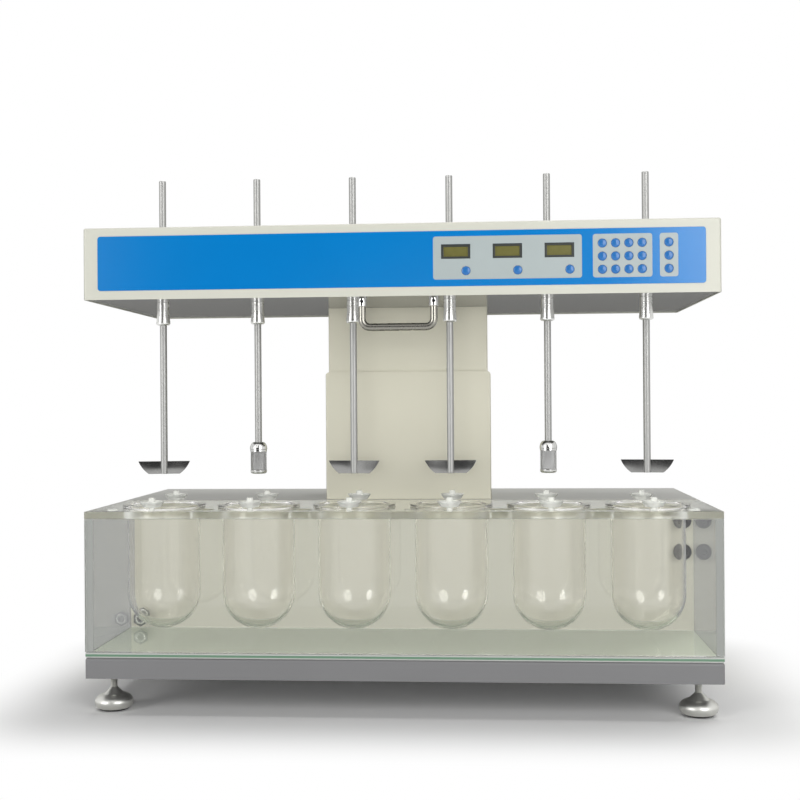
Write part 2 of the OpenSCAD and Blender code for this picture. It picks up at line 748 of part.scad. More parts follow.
module motor_pulley() color("silver") translate([motor_x, motor_y, 0]) {
    translate([0, 0, pulley_z]) pulley(motor_shaft_d / 2);
    translate([0, 0, bush_top - motor_shaft_in])
        cylinder(d = motor_shaft_d, h = quill_top - bush_top + motor_shaft_in);
}

module drive_motor() color("dimgray") translate([motor_x, motor_y, bottom_top]) difference() {
    cylinder(d = motor_d, h = motor_h);
    translate([0, 0, motor_h - motor_shaft_in - part_gap])
        cylinder(d = motor_shaft_d + 2 * run_gap, h = motor_shaft_in + part_gap + eps);
}

// The outline of a belt, seen from above, round two wheels of radius r
module belt_outline(from, to, r) {
    run = to - from;
    translate(from) circle(r);
    translate(to) circle(r);
    translate(from) rotate(atan2(run[1], run[0])) translate([0, -r]) square([norm(run), 2 * r]);
}

module belt(from, to, level) {
    z = pulley_z + pulley_lip_t + level * track_step + belt_room / 2;
    translate([0, 0, z]) linear_extrude(belt_w) difference() {
        belt_outline(from, to, belt_r + belt_t);
        belt_outline(from, to, belt_r);
    }
}

// Belts join neighbouring spindles, on the lower and the upper track by turns
module drive_belts() color([0.15, 0.15, 0.15]) {
    for (i = [0 : stations - 2])
        belt([station_x[i], shaft_y], [station_x[i + 1], shaft_y], i % 2);
    belt([motor_x, shaft_y], [motor_x, motor_y], (stations - 1) % 2);
}

module paddle_blade() {
    chord = [(paddle_top_w - paddle_low_w) / 2, paddle_h];
    half = norm(chord) / 2;
    inward = [-chord[1], chord[0]] / norm(chord);
    middle = [(paddle_top_w + paddle_low_w) / 4, paddle_h / 2];
    centre = middle + inward * sqrt(paddle_r * paddle_r - half * half);
    rotate([90, 0, 0]) linear_extrude(paddle_t, center = true) intersection() {
        translate([-paddle_top_w / 2, 0]) square([paddle_top_w, paddle_h]);
        translate(centre) circle(paddle_r, $fn = 128);
        translate([-centre[0], centre[1]]) circle(paddle_r, $fn = 128);
    }
}

module basket() {
    difference() {
        cylinder(d = basket_d, h = basket_h);
        translate([0, 0, basket_t]) cylinder(d = basket_d - 2 * basket_t, h = basket_h);
    }
}

module stirrer(i) color("gray")
    translate([station_x[i - 1], shaft_y, stirrer_low]) rotate(stirrer_turn[i - 1])
        if (len(search(i - 1, basket_stations)) > 0) {
            basket();
            translate([0, 0, basket_h + part_gap / 2]) {
                rotate_extrude() polygon(concat([[0, 0]], cap_dome, [[0, cap_h]]));
                cylinder(d = shaft_d, h = shaft_len - basket_h - part_gap / 2);
            }
        } else {
            paddle_blade();
            cylinder(d = shaft_d, h = shaft_len);
        }

base_tray();
for (i = [1 : 4])
    foot(i);
bath_tank();
vessel_plate();
vessels();
vessel_clamps();
water_ports();
rear_cabinet();
rear_deck();
circulation_heater();
power_inlet();
power_switch();
column_sleeve();
column_glides();
lift_strut_cylinder();
lift_strut_rod();
column_slide();
head_casing();
head_bottom_plate();
control_panel();
lcd_displays();
control_board();
lift_handle();
spindle_bushes();
drive_belts();
drive_motor();
motor_pulley();
for (i = [1 : stations]) {
    spindle(i);
    stirrer(i);
}
for (i = [1 : 3]) {
    key(display_keys[i - 1]);
    key(mode_keys[i - 1]);
}
for (i = [1 : 12])
    key(pad_keys[i - 1]);
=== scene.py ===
import json
import math

import bmesh
import bpy
from mathutils import Matrix, Vector


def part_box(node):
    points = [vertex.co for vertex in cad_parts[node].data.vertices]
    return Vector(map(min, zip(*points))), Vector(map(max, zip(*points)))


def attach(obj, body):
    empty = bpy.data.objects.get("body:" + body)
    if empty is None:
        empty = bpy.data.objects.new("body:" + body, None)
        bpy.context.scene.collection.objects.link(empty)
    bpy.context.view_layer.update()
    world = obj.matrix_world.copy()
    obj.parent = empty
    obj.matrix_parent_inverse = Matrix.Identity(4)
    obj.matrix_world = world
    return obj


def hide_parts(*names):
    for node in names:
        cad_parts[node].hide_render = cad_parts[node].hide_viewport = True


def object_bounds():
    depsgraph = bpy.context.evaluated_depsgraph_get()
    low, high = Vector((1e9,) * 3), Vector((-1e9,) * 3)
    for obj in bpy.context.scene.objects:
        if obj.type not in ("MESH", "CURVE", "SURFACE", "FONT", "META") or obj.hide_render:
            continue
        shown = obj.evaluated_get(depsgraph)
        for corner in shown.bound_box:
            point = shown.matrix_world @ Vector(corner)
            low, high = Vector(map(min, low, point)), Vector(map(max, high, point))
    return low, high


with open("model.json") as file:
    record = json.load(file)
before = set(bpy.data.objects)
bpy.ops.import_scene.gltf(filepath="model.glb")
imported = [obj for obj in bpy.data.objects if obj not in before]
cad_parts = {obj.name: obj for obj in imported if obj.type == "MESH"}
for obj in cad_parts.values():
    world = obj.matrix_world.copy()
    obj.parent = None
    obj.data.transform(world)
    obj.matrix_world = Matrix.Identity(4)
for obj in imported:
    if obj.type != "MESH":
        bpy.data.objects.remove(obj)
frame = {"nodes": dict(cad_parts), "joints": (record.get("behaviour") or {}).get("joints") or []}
cad_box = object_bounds()
mm = 0.001


# Base tray
# A shallow box folded from sheet steel with its apron down, and a weld nut under each corner.
# Satin grey enamel; the bend along the top edge catches the light as a pale line.

def add_shape(shape, **settings):
    """Adds one primitive with nothing else selected, its place in its mesh."""
    bpy.ops.object.select_all(action="DESELECT")
    getattr(bpy.ops.mesh, "primitive_" + shape + "_add")(**settings)
    bpy.ops.object.transform_apply()
    return bpy.context.object


def add_block(low, high):
    """A block between two corners."""
    block = add_shape("cube", size=1)
    block.scale = Vector(high) - Vector(low)
    block.location = (Vector(high) + Vector(low)) / 2
    bpy.ops.object.transform_apply()
    return block


def round_bar(x, y, z, diameter, along_y=False, vertices=48):
    """A round bar about a point, upright or along y, long enough to cut through any sheet."""
    return add_shape("cylinder", vertices=vertices, radius=diameter / 2, depth=30 * mm, location=(x, y, z),
                     rotation=(math.pi / 2 if along_y else 0, 0, 0))


def activate(piece):
    """Makes this piece the only one selected."""
    bpy.ops.object.select_all(action="DESELECT")
    piece.select_set(True)
    bpy.context.view_layer.objects.active = piece


def set_down(piece, place=(0, 0, 0), turned=(0, 0, 0)):
    """Turns a piece about the origin and moves it to its place, both in its mesh."""
    activate(piece)
    piece.rotation_euler = turned
    piece.location = place
    bpy.ops.object.transform_apply()
    return piece


def copy_of(piece, place, spin=0):
    """A copy of a piece with its own mesh, spun about the upright axis and moved to its place."""
    activate(piece)
    bpy.ops.object.duplicate()
    return set_down(bpy.context.object, place, (0, 0, spin))


def copies(piece, places):
    """Copies of a piece at each of the places; the piece itself goes."""
    made = [copy_of(piece, place) for place in places]
    bpy.data.objects.remove(piece)
    return made


def pick(piece, kind, test):
    """Opens the piece for editing with the faces, edges or corners selected that pass the test.

    The test gets the middle of each and its normal or, for an edge, its direction.
    """
    if piece.mode != "EDIT":
        activate(piece)
        bpy.ops.object.mode_set(mode="EDIT")
    bpy.ops.mesh.select_mode(type=kind)
    bpy.ops.mesh.select_all(action="DESELECT")
    mesh = bmesh.from_edit_mesh(piece.data)
    mesh.normal_update()
    parts = {"FACE": mesh.faces, "EDGE": mesh.edges, "VERT": mesh.verts}[kind]
    for part in parts:
        corners = [part.co] if kind == "VERT" else [v.co for v in part.verts]
        middle = sum(corners, Vector()) / len(corners)
        normal = part.normal if kind != "EDGE" else (corners[1] - corners[0]).normalized()
        part.select_set(bool(test(middle, normal)))
    mesh.select_flush_mode()
    bmesh.update_edit_mesh(piece.data)


def close(piece):
    """Ends the editing of a piece."""
    bpy.ops.object.mode_set(mode="OBJECT")
    return piece


def bend(piece, radius, segments, test):
    """Rounds the edges that pass the test."""
    pick(piece, "EDGE", test)
    bpy.ops.mesh.bevel(offset=radius, segments=segments)
    return close(piece)


def open_faces(piece, test):
    """Takes away the faces that pass the test."""
    pick(piece, "FACE", test)
    bpy.ops.mesh.delete(type="FACE")
    return close(piece)


def shape_with(piece, kind, **settings):
    """Adds a modifier with its settings and applies it."""
    activate(piece)
    modifier = piece.modifiers.new(kind.lower(), kind)
    for name, value in settings.items():
        setattr(modifier, name, value)
    bpy.ops.object.modifier_apply(modifier=modifier.name)
    return piece


def thicken(piece, sheet):
    """Gives a folded shell the thickness of its sheet, inwards."""
    return shape_with(piece, "SOLIDIFY", thickness=sheet, offset=-1)


def smooth(piece):
    """Smooths the shading of round stretches and keeps flat faces flat."""
    activate(piece)
    bpy.ops.object.shade_smooth_by_angle(angle=math.radians(35))
    return shape_with(piece, "WEIGHTED_NORMAL", keep_sharp=True)


def round_edges(piece, radius):
    """Eases every sharp edge."""
    shape_with(piece, "BEVEL", width=radius, segments=2, limit_method="ANGLE",
               angle_limit=math.radians(40), use_clamp_overlap=True)
    return smooth(piece)


def join(pieces):
    """Joins pieces to the first of them."""
    activate(pieces[0])
    for piece in pieces:
        piece.select_set(True)
    bpy.ops.object.join()
    return bpy.context.object


def combine(piece, operation, *others):
    """Combines a piece with others into one solid: their union, intersection or difference."""
    tool = join(list(others))
    shape_with(piece, "BOOLEAN", object=tool, operation=operation, solver="EXACT")
    bpy.data.objects.remove(tool)
    return piece


def cut(piece, *cutters):
    """Cuts the shapes of the cutters out of a piece."""
    return combine(piece, "DIFFERENCE", *cutters)


def linear(code):
    """The linear colour of an sRGB hex value."""
    parts = [int(code[i:i + 2], 16) / 255 for i in (1, 3, 5)]
    return [p / 12.92 if p <= 0.04045 else ((p + 0.055) / 1.055) ** 2.4 for p in parts] + [1]


def add_node(tree, kind, inputs, **settings):
    """Adds a shader node: an input that is a socket is linked, any other is set."""
    made = tree.nodes.new(kind)
    for name, value in settings.items():
        setattr(made, name, value)
    for name, value in inputs.items():
        if isinstance(value, bpy.types.NodeSocket):
            tree.links.new(value, made.inputs[name])
        else:
            made.inputs[name].default_value = value
    return made


def new_finish(name, surface):
    """A material with the shader values given and its Object coordinates at hand for patterns."""
    made = bpy.data.materials.new(name)
    made.use_nodes = True
    for socket, value in surface.items():
        made.node_tree.nodes["Principled BSDF"].inputs[socket].default_value = value
    add_node(made.node_tree, "ShaderNodeTexCoord", {}, name="place")
    return made


def parts_of(finish):
    """The node tree of a material, its shader and its Object coordinates."""
    tree = finish.node_tree
    return tree, tree.nodes["Principled BSDF"], tree.nodes["place"].outputs["Object"]


def mottle(finish, width, detail, code, shade):
    """Lets the colour drift between two close shades over the width given."""
    tree, shader, place = parts_of(finish)
    cloud = add_node(tree, "ShaderNodeTexNoise", {"Vector": place, "Scale": 1 / width, "Detail": detail})
    tone = add_node(tree, "ShaderNodeMixRGB", {"Fac": cloud.outputs["Fac"], "Color1": linear(code),
                                               "Color2": linear(shade)})
    tree.links.new(tone.outputs["Color"], shader.inputs["Base Color"])
    return finish


def emboss(finish, width, detail, strength, depth):
    """Gives the surface a fine relief of the width and depth given."""
    tree, shader, place = parts_of(finish)
    relief = add_node(tree, "ShaderNodeTexNoise", {"Vector": place, "Scale": 1 / width, "Detail": detail})
    bump = add_node(tree, "ShaderNodeBump", {"Height": relief.outputs["Fac"], "Strength": strength,
                                             "Distance": depth})
    tree.links.new(bump.outputs["Normal"], shader.inputs["Normal"])
    return finish


def enamel(name, code, shade, roughness):
    """Sprayed enamel on sheet steel: soft gloss, orange peel of 1.6 mm and faintly uneven colour."""
    made = mottle(new_finish(name, {"Roughness": roughness, "IOR": 1.5}), 140 * mm, 3, code, shade)
    return emboss(made, 1.6 * mm, 1, 0.12, 0.15 * mm)


def coat(piece, finish):
    """Gives a whole piece one finish."""
    piece.data.materials.clear()
    piece.data.materials.append(finish)
    return piece


def fit(piece, name, finish, body, slot, *nodes):
    """Names a finished piece, gives it its finish and sets it on its body in place of its solids."""
    piece.name = name
    piece.data.name = name
    if finish:
        coat(piece, finish)
    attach(piece, body)
    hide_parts(*nodes)


tray_low, tray_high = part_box("base_tray")
tray_sheet = 2 * mm
tray_bend = 3.5 * mm
nut_across = 26 * mm
nut_height = 14 * mm
stem_radius = 5 * mm
stem_gap = 0.2 * mm
# Satin enamel: an even mid-grey with a low sheen.
grey_enamel = enamel("satin grey enamel", "#717172", "#6C6C6D", 0.42)
tray = open_faces(add_block(tray_low, tray_high), lambda middle, normal: normal.z < -0.9)
bend(tray, tray_bend, 5, lambda middle, run: middle.z > tray_low.z + mm)
smooth(thicken(tray, tray_sheet))
foot_places = [(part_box(f"foot_{i}")[0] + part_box(f"foot_{i}")[1]) / 2 for i in range(1, 5)]
foot_spots = [(place.x, place.y, 0) for place in foot_places]
nut_z = tray_high.z - tray_sheet - nut_height / 2
nut = add_shape("cylinder", vertices=6, radius=nut_across / 2, depth=nut_height, location=(0, 0, nut_z))
cut(nut, round_bar(0, 0, nut_z, 2 * (stem_radius + stem_gap), vertices=32))
weld_nuts = copies(round_edges(nut, 0.8 * mm), foot_spots)
fit(join([tray] + weld_nuts), "folded_base_tray", grey_enamel, "base", "grey_paint", "base_tray")


# Levelling feet
# Bell-shaped steel feet turned and polished bright, on black rubber soles. Each has a screwed
# stem that runs in a nut of the tray, so that the bath can be set level.

def arc(centre, reach, start, end, steps):
    """Points of an outline along an arc or a part of an ellipse, between two angles in degrees."""
    angles = [math.radians(start + (end - start) * step / steps) for step in range(steps + 1)]
    return [(centre[0] + reach[0] * math.cos(a), centre[1] + reach[1] * math.sin(a)) for a in angles]


def turn(outline, steps=48):
    """A turned piece: an outline of (radius, height, corner radius) points spun about an upright axis."""
    points = [Vector((p[0], 0, p[1])) for p in outline]
    piece = add_shape("plane", size=mm)
    bpy.ops.object.mode_set(mode="EDIT")
    bpy.ops.mesh.select_mode(type="VERT")
    bpy.ops.mesh.select_all(action="SELECT")
    bpy.ops.mesh.merge(type="CENTER")
    bpy.ops.transform.translate(value=points[0])
    for last, point in zip(points, points[1:]):
        bpy.ops.mesh.extrude_vertices_move(TRANSFORM_OT_translate={"value": point - last})
    for point, rounding in [(p, o[2]) for p, o in zip(points, outline) if len(o) > 2]:
        pick(piece, "VERT", lambda middle, normal: (middle - point).length < 1e-6)
        bpy.ops.mesh.bevel(offset=rounding, offset_type="OFFSET", segments=4, affect="VERTICES")
    bpy.ops.mesh.select_all(action="SELECT")
    bpy.ops.mesh.spin(steps=steps, angle=math.tau, center=(0, 0, 0), axis=(0, 0, 1))
    bpy.ops.mesh.select_all(action="SELECT")
    bpy.ops.mesh.remove_doubles(threshold=1e-6)
    bpy.ops.mesh.normals_make_consistent(inside=False)
    return smooth(close(piece))


def buff(finish, width, detail, roughness, spread):
    """Lets the roughness vary by the spread given, in marks of the width given."""
    tree, shader, place = parts_of(finish)
    marks = add_node(tree, "ShaderNodeTexNoise", {"Vector": place, "Scale": 1 / width, "Detail": detail})
    gloss = add_node(tree, "ShaderNodeMapRange", {"Value": marks.outputs["Fac"],
                                                  "To Min": roughness * (1 - spread),
                                                  "To Max": roughness * (1 + spread)})
    tree.links.new(gloss.outputs["Result"], shader.inputs["Roughness"])
    return finish


def bright_metal(name, code, roughness, grit):
    """Polished metal: mirror gloss softened unevenly by fine buffing marks, grit across."""
    return buff(new_finish(name, {"Base Color": linear(code), "Metallic": 1}), grit, 4, roughness, 0.15)


def grained(name, code, roughness, grain):
    """An even colour under a fine grain, as on moulded plastic, rubber or a ground edge."""
    made = buff(new_finish(name, {"Base Color": linear(code), "IOR": 1.46}), grain, 2, roughness, 0.2)
    return emboss(made, grain, 2, 0.15, 0.1 * mm)


def paint_faces(piece, finish, test):
    """Gives the faces that pass the test a finish of their own."""
    piece.data.materials.append(finish)
    pick(piece, "FACE", test)
    piece.active_material_index = len(piece.data.materials) - 1
    bpy.ops.object.material_slot_assign()
    close(piece)


foot_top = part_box("foot_1")[1].z
foot_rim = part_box("foot_1")[1].x - foot_places[0].x
foot_base = 15.5 * mm
rim_level, dome_height, bell_height = 12 * mm, 12 * mm, 19 * mm
neck_radius = stem_radius + 0.5 * mm
thread_low = rim_level + bell_height
thread_pitch, thread_depth = 1.5 * mm, 0.5 * mm
sole_and_shade_height = 2.6 * mm
foot_outline = [(0, 0)]
foot_outline += arc((foot_base, rim_level), (foot_rim - foot_base, rim_level), -90, -15, 5)
foot_outline += arc((neck_radius, rim_level), (foot_rim - neck_radius, dome_height), 0, 66, 12)
foot_outline.append((neck_radius, thread_low, 3 * mm))
for step in range(1, int((foot_top - thread_low) / thread_pitch)):
    foot_outline.append((stem_radius - thread_depth, thread_low + step * thread_pitch))
    foot_outline.append((stem_radius, thread_low + (step + 0.5) * thread_pitch))
foot_outline += [(stem_radius - thread_depth, foot_top), (0, foot_top)]
# Satin plate gives broad soft highlights round the bell; the sole is matt black rubber, and the black carried
# up the bell's lowest edge is painted shade.
foot_plate = bright_metal("satin bright plate", "#D4D4CF", 0.42, 8 * mm)
sole_rubber_and_painted_shade = grained("moulded sole rubber and painted shade", "#1C1C1D", 0.6, 1 * mm)
first_foot = coat(turn(foot_outline, 64), foot_plate)
# Black on every face below 2.6 mm: the rubber sole, and a thin rim of painted shade at the bottom of the
# bell.
paint_faces(first_foot, sole_rubber_and_painted_shade, lambda middle, normal: middle.z < sole_and_shade_height)
for number, foot in enumerate(copies(first_foot, foot_spots), 1):
    fit(foot, f"levelling_foot_{number}", None, f"foot_{number}", "chrome", f"foot_{number}")


# Bath tank
# Front and back panes and end walls of cast acrylic, bonded at their edges and polished, on a
# floor sheet of float glass. The end walls are smoked; the glass shows green at its cut edge.

def clear_sheet(name, code, ior, wave, roughness=0.0, transmission=1):
    """Clear polished material that is seen through, its faces waved a little over the length given."""
    made = new_finish(name, {"Base Color": linear(code), "Roughness": roughness, "IOR": ior,
                             "Transmission Weight": transmission})
    return emboss(made, wave, 1, 0.06, 0.3 * mm)


tank_low, tank_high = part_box("bath_tank")
pane = 10 * mm
floor_sheet = 8 * mm
bond = 0.1 * mm
polish = 0.7 * mm
floor_polish = 2.4 * mm
floor_top = tank_low.z + floor_sheet
wall_low = floor_top + bond
wall_high = tank_high.z - bond
inner_low, inner_high = tank_low.y + pane, tank_high.y - pane
# Polished acrylic: clear, with faint waves in what it mirrors. Smoke in the end walls greys it.
clear_acrylic = clear_sheet("polished clear acrylic", "#FEFFFE", 1.49, 90 * mm)
smoked_acrylic = clear_sheet("smoked acrylic", "#9C9D9D", 1.49, 90 * mm)
# Float glass: clear through its faces, green where the light runs along the sheet.
green_glass = clear_sheet("green-edged float glass", "#FEFFFE", 1.52, 120 * mm)
glass_tree = green_glass.node_tree
tint = add_node(glass_tree, "ShaderNodeVolumeAbsorption", {"Color": linear("#9FDDB5"), "Density": 16})
glass_tree.links.new(tint.outputs["Volume"], glass_tree.nodes["Material Output"].inputs["Volume"])
# The floor's painted back is pale and dull; edges that were ground are matt, and the cut is green. The pale
# of the floor glass's lower bevel is also a painted highlight of the tray's bend.
pale_backing = enamel("pale back paint", "#F2F0E0", "#EDEBDB", 0.5)
ground_edge_and_painted_highlight = grained("ground pale edge and painted highlight", "#A9ABA7", 0.7, 0.8 * mm)
green_edge = grained("green cut edge", "#5C7C66", 0.3, 2 * mm)
front_pane = add_block((tank_low.x, tank_low.y, wall_low), (tank_high.x, inner_low, wall_high))
back_pane = add_block((tank_low.x, inner_high, wall_low), (tank_high.x, tank_high.y, wall_high))
left_wall = add_block((tank_low.x, inner_low + bond, wall_low),
                      (tank_low.x + pane, inner_high - bond, wall_high))
right_wall = add_block((tank_high.x - pane, inner_low + bond, wall_low),
                       (tank_high.x, inner_high - bond, wall_high))
glass_floor = add_block(tank_low + Vector((0, 0, bond)), (tank_high.x, tank_high.y, floor_top))
port_low, port_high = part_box("water_ports")
port_flange = 24 * mm
port_barrel = 14 * mm
port_hole = port_barrel + 0.6 * mm
port_pitch = 47 * mm
port_places = [(port_low.x + port_flange / 2, port_low.z + port_flange / 2),
               (port_high.x - port_flange / 2, port_high.z - port_flange / 2 - port_pitch),
               (port_high.x - port_flange / 2, port_high.z - port_flange / 2)]
cut(back_pane, *[round_bar(x, tank_high.y - pane / 2, z, port_hole, True) for x, z in port_places])
for sheet, finish, edge in ((front_pane, clear_acrylic, polish), (back_pane, clear_acrylic, polish),
                            (left_wall, smoked_acrylic, polish), (right_wall, smoked_acrylic, polish),
                            (glass_floor, green_glass, floor_polish)):
    coat(round_edges(sheet, edge), finish)
for wall in (left_wall, right_wall):
    paint_faces(wall, ground_edge_and_painted_highlight, lambda middle, normal: normal.y < -0.05)
for sheet in (front_pane, back_pane):
    paint_faces(sheet, ground_edge_and_painted_highlight, lambda middle, normal: abs(normal.x) > 0.05)
paint_faces(glass_floor, pale_backing, lambda middle, normal: normal.z < -0.9)
# Both bevels of the floor glass are ground and pale; the lower one also stands as a painted highlight of the
# tray's bend.
paint_faces(glass_floor, ground_edge_and_painted_highlight, lambda middle, normal: 0.3 < abs(normal.z) < 0.95)
paint_faces(glass_floor, green_edge, lambda middle, normal: abs(normal.z) < 0.2)
tank = join([front_pane, back_pane, left_wall, right_wall, glass_floor])
tank.visible_shadow = False
fit(tank, "bonded_tank", None, "base", "acrylic", "bath_tank")


# Vessel plate
# The clear acrylic cover of the tank: six holes that the vessels hang in, four filling ports
# and two probe holes, all left as sawn with their edges eased.

plate_low, plate_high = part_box("vessel_plate")
stations = [Vector(joint["pos_m"]) for joint in frame["joints"]
            if joint["name"].startswith("spindle_")]
station_spots = [(station.x, station.y, 0) for station in stations]
station_pitch = stations[1].x - stations[0].x
vessel_hole, filling_hole, probe_hole = 108 * mm, 32 * mm, 8 * mm
probe_pitch = 20 * mm
filling_y = plate_low.y + 34 * mm
plate_holes = [(station.x, station.y, vessel_hole) for station in stations]
plate_holes += [(side * step * station_pitch, filling_y, filling_hole) for side in (-1, 1) for step in (1, 2)]
plate_holes += [(side * probe_pitch / 2, filling_y, probe_hole) for side in (-1, 1)]
# Sawn acrylic scatters the light, so that the plate's edges show pale and blurred.
sawn_edge = clear_sheet("sawn acrylic edge", "#E9EAE3", 1.25, 12 * mm, roughness=0.3)
plate = add_block(plate_low, plate_high)
plate_z = (plate_low.z + plate_high.z) / 2
cut(plate, *[round_bar(x, y, plate_z, size, vertices=96) for x, y, size in plate_holes])
coat(round_edges(plate, polish), clear_acrylic)
paint_faces(plate, sawn_edge, lambda middle, normal: abs(normal.z) < 0.9)
plate.visible_shadow = False
fit(plate, "vessel_cover_plate", None, "base", "acrylic", "vessel_plate")


# Vessels
# Six round-bottomed vessels blown in borosilicate glass, hung in the plate by a thickened,
# fire-polished rim.

vessel_low, vessel_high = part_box("vessels")
vessel_radius = 52.5 * mm
vessel_wall, vessel_bottom = 2.5 * mm, 4.5 * mm
vessel_bore = vessel_radius - vessel_wall
rim_radius, rim_height, rim_flare = 60 * mm, 4 * mm, 3 * mm
rim_low = vessel_high.z - rim_height + bond
bowl_centre = (0, vessel_low.z + vessel_radius)
bowl_steps = 18
vessel_outline = arc(bowl_centre, (vessel_radius, vessel_radius), -90, 0, bowl_steps)
vessel_outline += [(vessel_radius, rim_low - rim_flare, 2 * mm), (rim_radius - rim_flare, rim_low, 1 * mm),
                   (rim_radius, rim_low, 1.2 * mm), (rim_radius, vessel_high.z, 1.8 * mm),
                   (vessel_bore, vessel_high.z, 2.5 * mm)]
vessel_outline += arc(bowl_centre, (vessel_bore, vessel_radius - vessel_bottom), 0, -90, bowl_steps)
# Blown glass: almost no colour, soft ripples, and bright rims where it turns away. The low IOR
# keeps what is behind the thin walls in its place, and the coat gives back the gloss.
vessel_glass = emboss(new_finish("blown borosilicate glass", {
    "Base Color": linear("#FDFCFA"), "Roughness": 0.0, "Transmission Weight": 1, "IOR": 1.2,
    "Coat Weight": 0.6, "Coat IOR": 1.6, "Coat Roughness": 0.1}), 35 * mm, 1, 0.03, 0.3 * mm)
vessel_row = join(copies(turn(vessel_outline, 96), station_spots))
vessel_row.visible_shadow = False
fit(vessel_row, "glass_vessels", vessel_glass, "base", "vessel_glass", "vessels")


# Hold-down knobs
# Twelve dished knobs turned in clear acrylic, with a nub to grip, on posts in front of and
# behind each vessel: they hold its rim down. Two clear screws hold the plate's front corners.

clamp_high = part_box("vessel_clamps")[1]
knob_radius, knob_foot, knob_post = 17 * mm, 12 * mm, 4 * mm
knob_height, knob_rim, knob_edge = 8.7 * mm, 2 * mm, 1.5 * mm
dish_radius, dish_depth = 11 * mm, 4 * mm
nub_radius = 4.5 * mm
clamp_reach = clamp_high.y - stations[0].y - knob_radius
seat_z = plate_high.z + bond
knob_low = vessel_high.z + 0.3 * mm
knob_high = knob_low + knob_height
knob_outline = [(0, seat_z), (knob_post, seat_z), (knob_post, knob_low), (knob_foot, knob_low, 1.5 * mm),
                (knob_radius, knob_high - knob_edge, 1 * mm), (knob_radius, knob_high, 0.7 * mm),
                (knob_radius - knob_rim, knob_high, 0.7 * mm), (dish_radius, knob_high - dish_depth, 2 * mm),
                (nub_radius + 0.5 * mm, knob_high - dish_depth - 0.5 * mm, 1.5 * mm),
                (nub_radius, clamp_high.z, 2 * mm), (0, clamp_high.z)]
screw_radius, screw_edge, screw_crown = 8 * mm, 2.5 * mm, 4.5 * mm
corner_outline = [(0, seat_z), (screw_radius, seat_z, 0.5 * mm),
                  (screw_radius, plate_high.z + screw_edge, 2 * mm), (0, plate_high.z + screw_crown)]
corner_x = plate_high.x - 37 * mm
corner_y = plate_low.y + 13 * mm
# Turned acrylic: tool marks cloud it, so that it looks white where it is thick.
knob_acrylic = clear_sheet("turned clear acrylic", "#F2F3EE", 1.49, 5 * mm, roughness=0.2, transmission=0.56)
knobs = copies(turn(knob_outline, 40), [(station.x, station.y + side * clamp_reach, 0)
                                        for station in stations for side in (-1, 1)])
knobs += copies(turn(corner_outline, 32), [(side * corner_x, corner_y, 0) for side in (-1, 1)])
knob_rows = join(knobs)
knob_rows.visible_shadow = False
fit(knob_rows, "hold_down_knobs", knob_acrylic, "base", "clear_knob", "vessel_clamps")


# Water ports
# Turned fittings through the back pane: a bright hexagon nozzle low at the left, where water
# comes in, and two black suction ports high at the right.

# Turns that make an upright piece face the front or the back.
to_front, to_back = (math.pi / 2, 0, 0), (-math.pi / 2, 0, 0)
port_tail = port_high.y - port_low.y
port_face = 5 * mm
suction_bore, suction_depth = 5 * mm, 12 * mm
nozzle_bore, nozzle_depth = 5 * mm, 14 * mm
nozzle_shoulder, nozzle_lip = 9 * mm, 8 * mm
flange_back = port_tail - port_face
# Moulded plastic, near black with a soft sheen; bright steel for the nozzle, and on its nut the same steel
# darkened as painted shade.
black_plastic = grained("moulded black plastic", "#1B1B1C", 0.45, 0.8 * mm)
nozzle_steel = bright_metal("bright nozzle steel", "#E4E4E0", 0.2, 4 * mm)
nut_steel_painted_dark = bright_metal("nut steel darkened as painted shade", "#83837F", 0.25, 4 * mm)
suction_outline = [(0, 0), (port_barrel / 2, 0, 0.5 * mm), (port_barrel / 2, flange_back),
                   (port_flange / 2, flange_back, 0.5 * mm), (port_flange / 2, port_tail, 1.5 * mm),
                   (suction_bore, port_tail, 0.8 * mm), (suction_bore - 0.5 * mm, port_tail - suction_depth),
                   (0, port_tail - suction_depth)]
suction_port = coat(set_down(turn(suction_outline), turned=to_front), black_plastic)
suction_ports = copies(suction_port, [(x, port_high.y, z) for x, z in port_places[1:]])
nozzle_outline = [(0, 0), (port_barrel / 2, 0, 0.5 * mm), (port_barrel / 2, flange_back + mm),
                  (nozzle_shoulder, flange_back + mm), (nozzle_lip, port_tail, 1 * mm),
                  (nozzle_bore, port_tail, 0.6 * mm), (nozzle_bore, port_tail - nozzle_depth),
                  (0, port_tail - nozzle_depth)]
nozzle_x, nozzle_z = port_places[0]
nozzle = coat(set_down(turn(nozzle_outline), (nozzle_x, port_high.y, nozzle_z), to_front), nozzle_steel)
# The steel nozzle's bore is coloured black as painted shade inside the hole.
paint_faces(nozzle, black_plastic, lambda middle, normal: middle.y > port_low.y + mm and math.hypot(
    middle.x - nozzle_x, middle.z - nozzle_z) < nozzle_bore + 0.1 * mm)
hexagon = add_shape("cylinder", vertices=6, radius=port_flange / 2, depth=port_face - mm, rotation=to_front,
                    location=(nozzle_x, port_low.y + mm + (port_face - mm) / 2, nozzle_z))
coat(round_edges(hexagon, 0.6 * mm), nut_steel_painted_dark)
fit(join([nozzle, hexagon] + suction_ports), "water_fittings", None, "base", "black_plastic", "water_ports")


# Rear cabinet
# A box of folded sheet steel behind the tank that hides the heater and pump; its cream powder
# coat shows through the tank. Pan-head screws hold its back wall.

def stands(middle, run):
    """True for an upright edge."""
    return abs(run.z) > 0.9


def pan_screw(radius):
    """A bright pan-head screw with a cross recess, its head resting at the origin and facing back."""
    screw = turn([(0, 0), (radius, 0), (radius, 0.25 * radius, 0.2 * radius),
                  (0.55 * radius, 0.62 * radius, 0.3 * radius), (0, 0.68 * radius)], 32)
    slot_long, slot_wide, slot_low = 0.5 * radius, 0.11 * radius, 0.3 * radius
    for half_x, half_y in ((slot_long, slot_wide), (slot_wide, slot_long)):
        cut(screw, add_block((-half_x, -half_y, slot_low), (half_x, half_y, radius)))
    return coat(set_down(smooth(screw), turned=to_back), chrome)


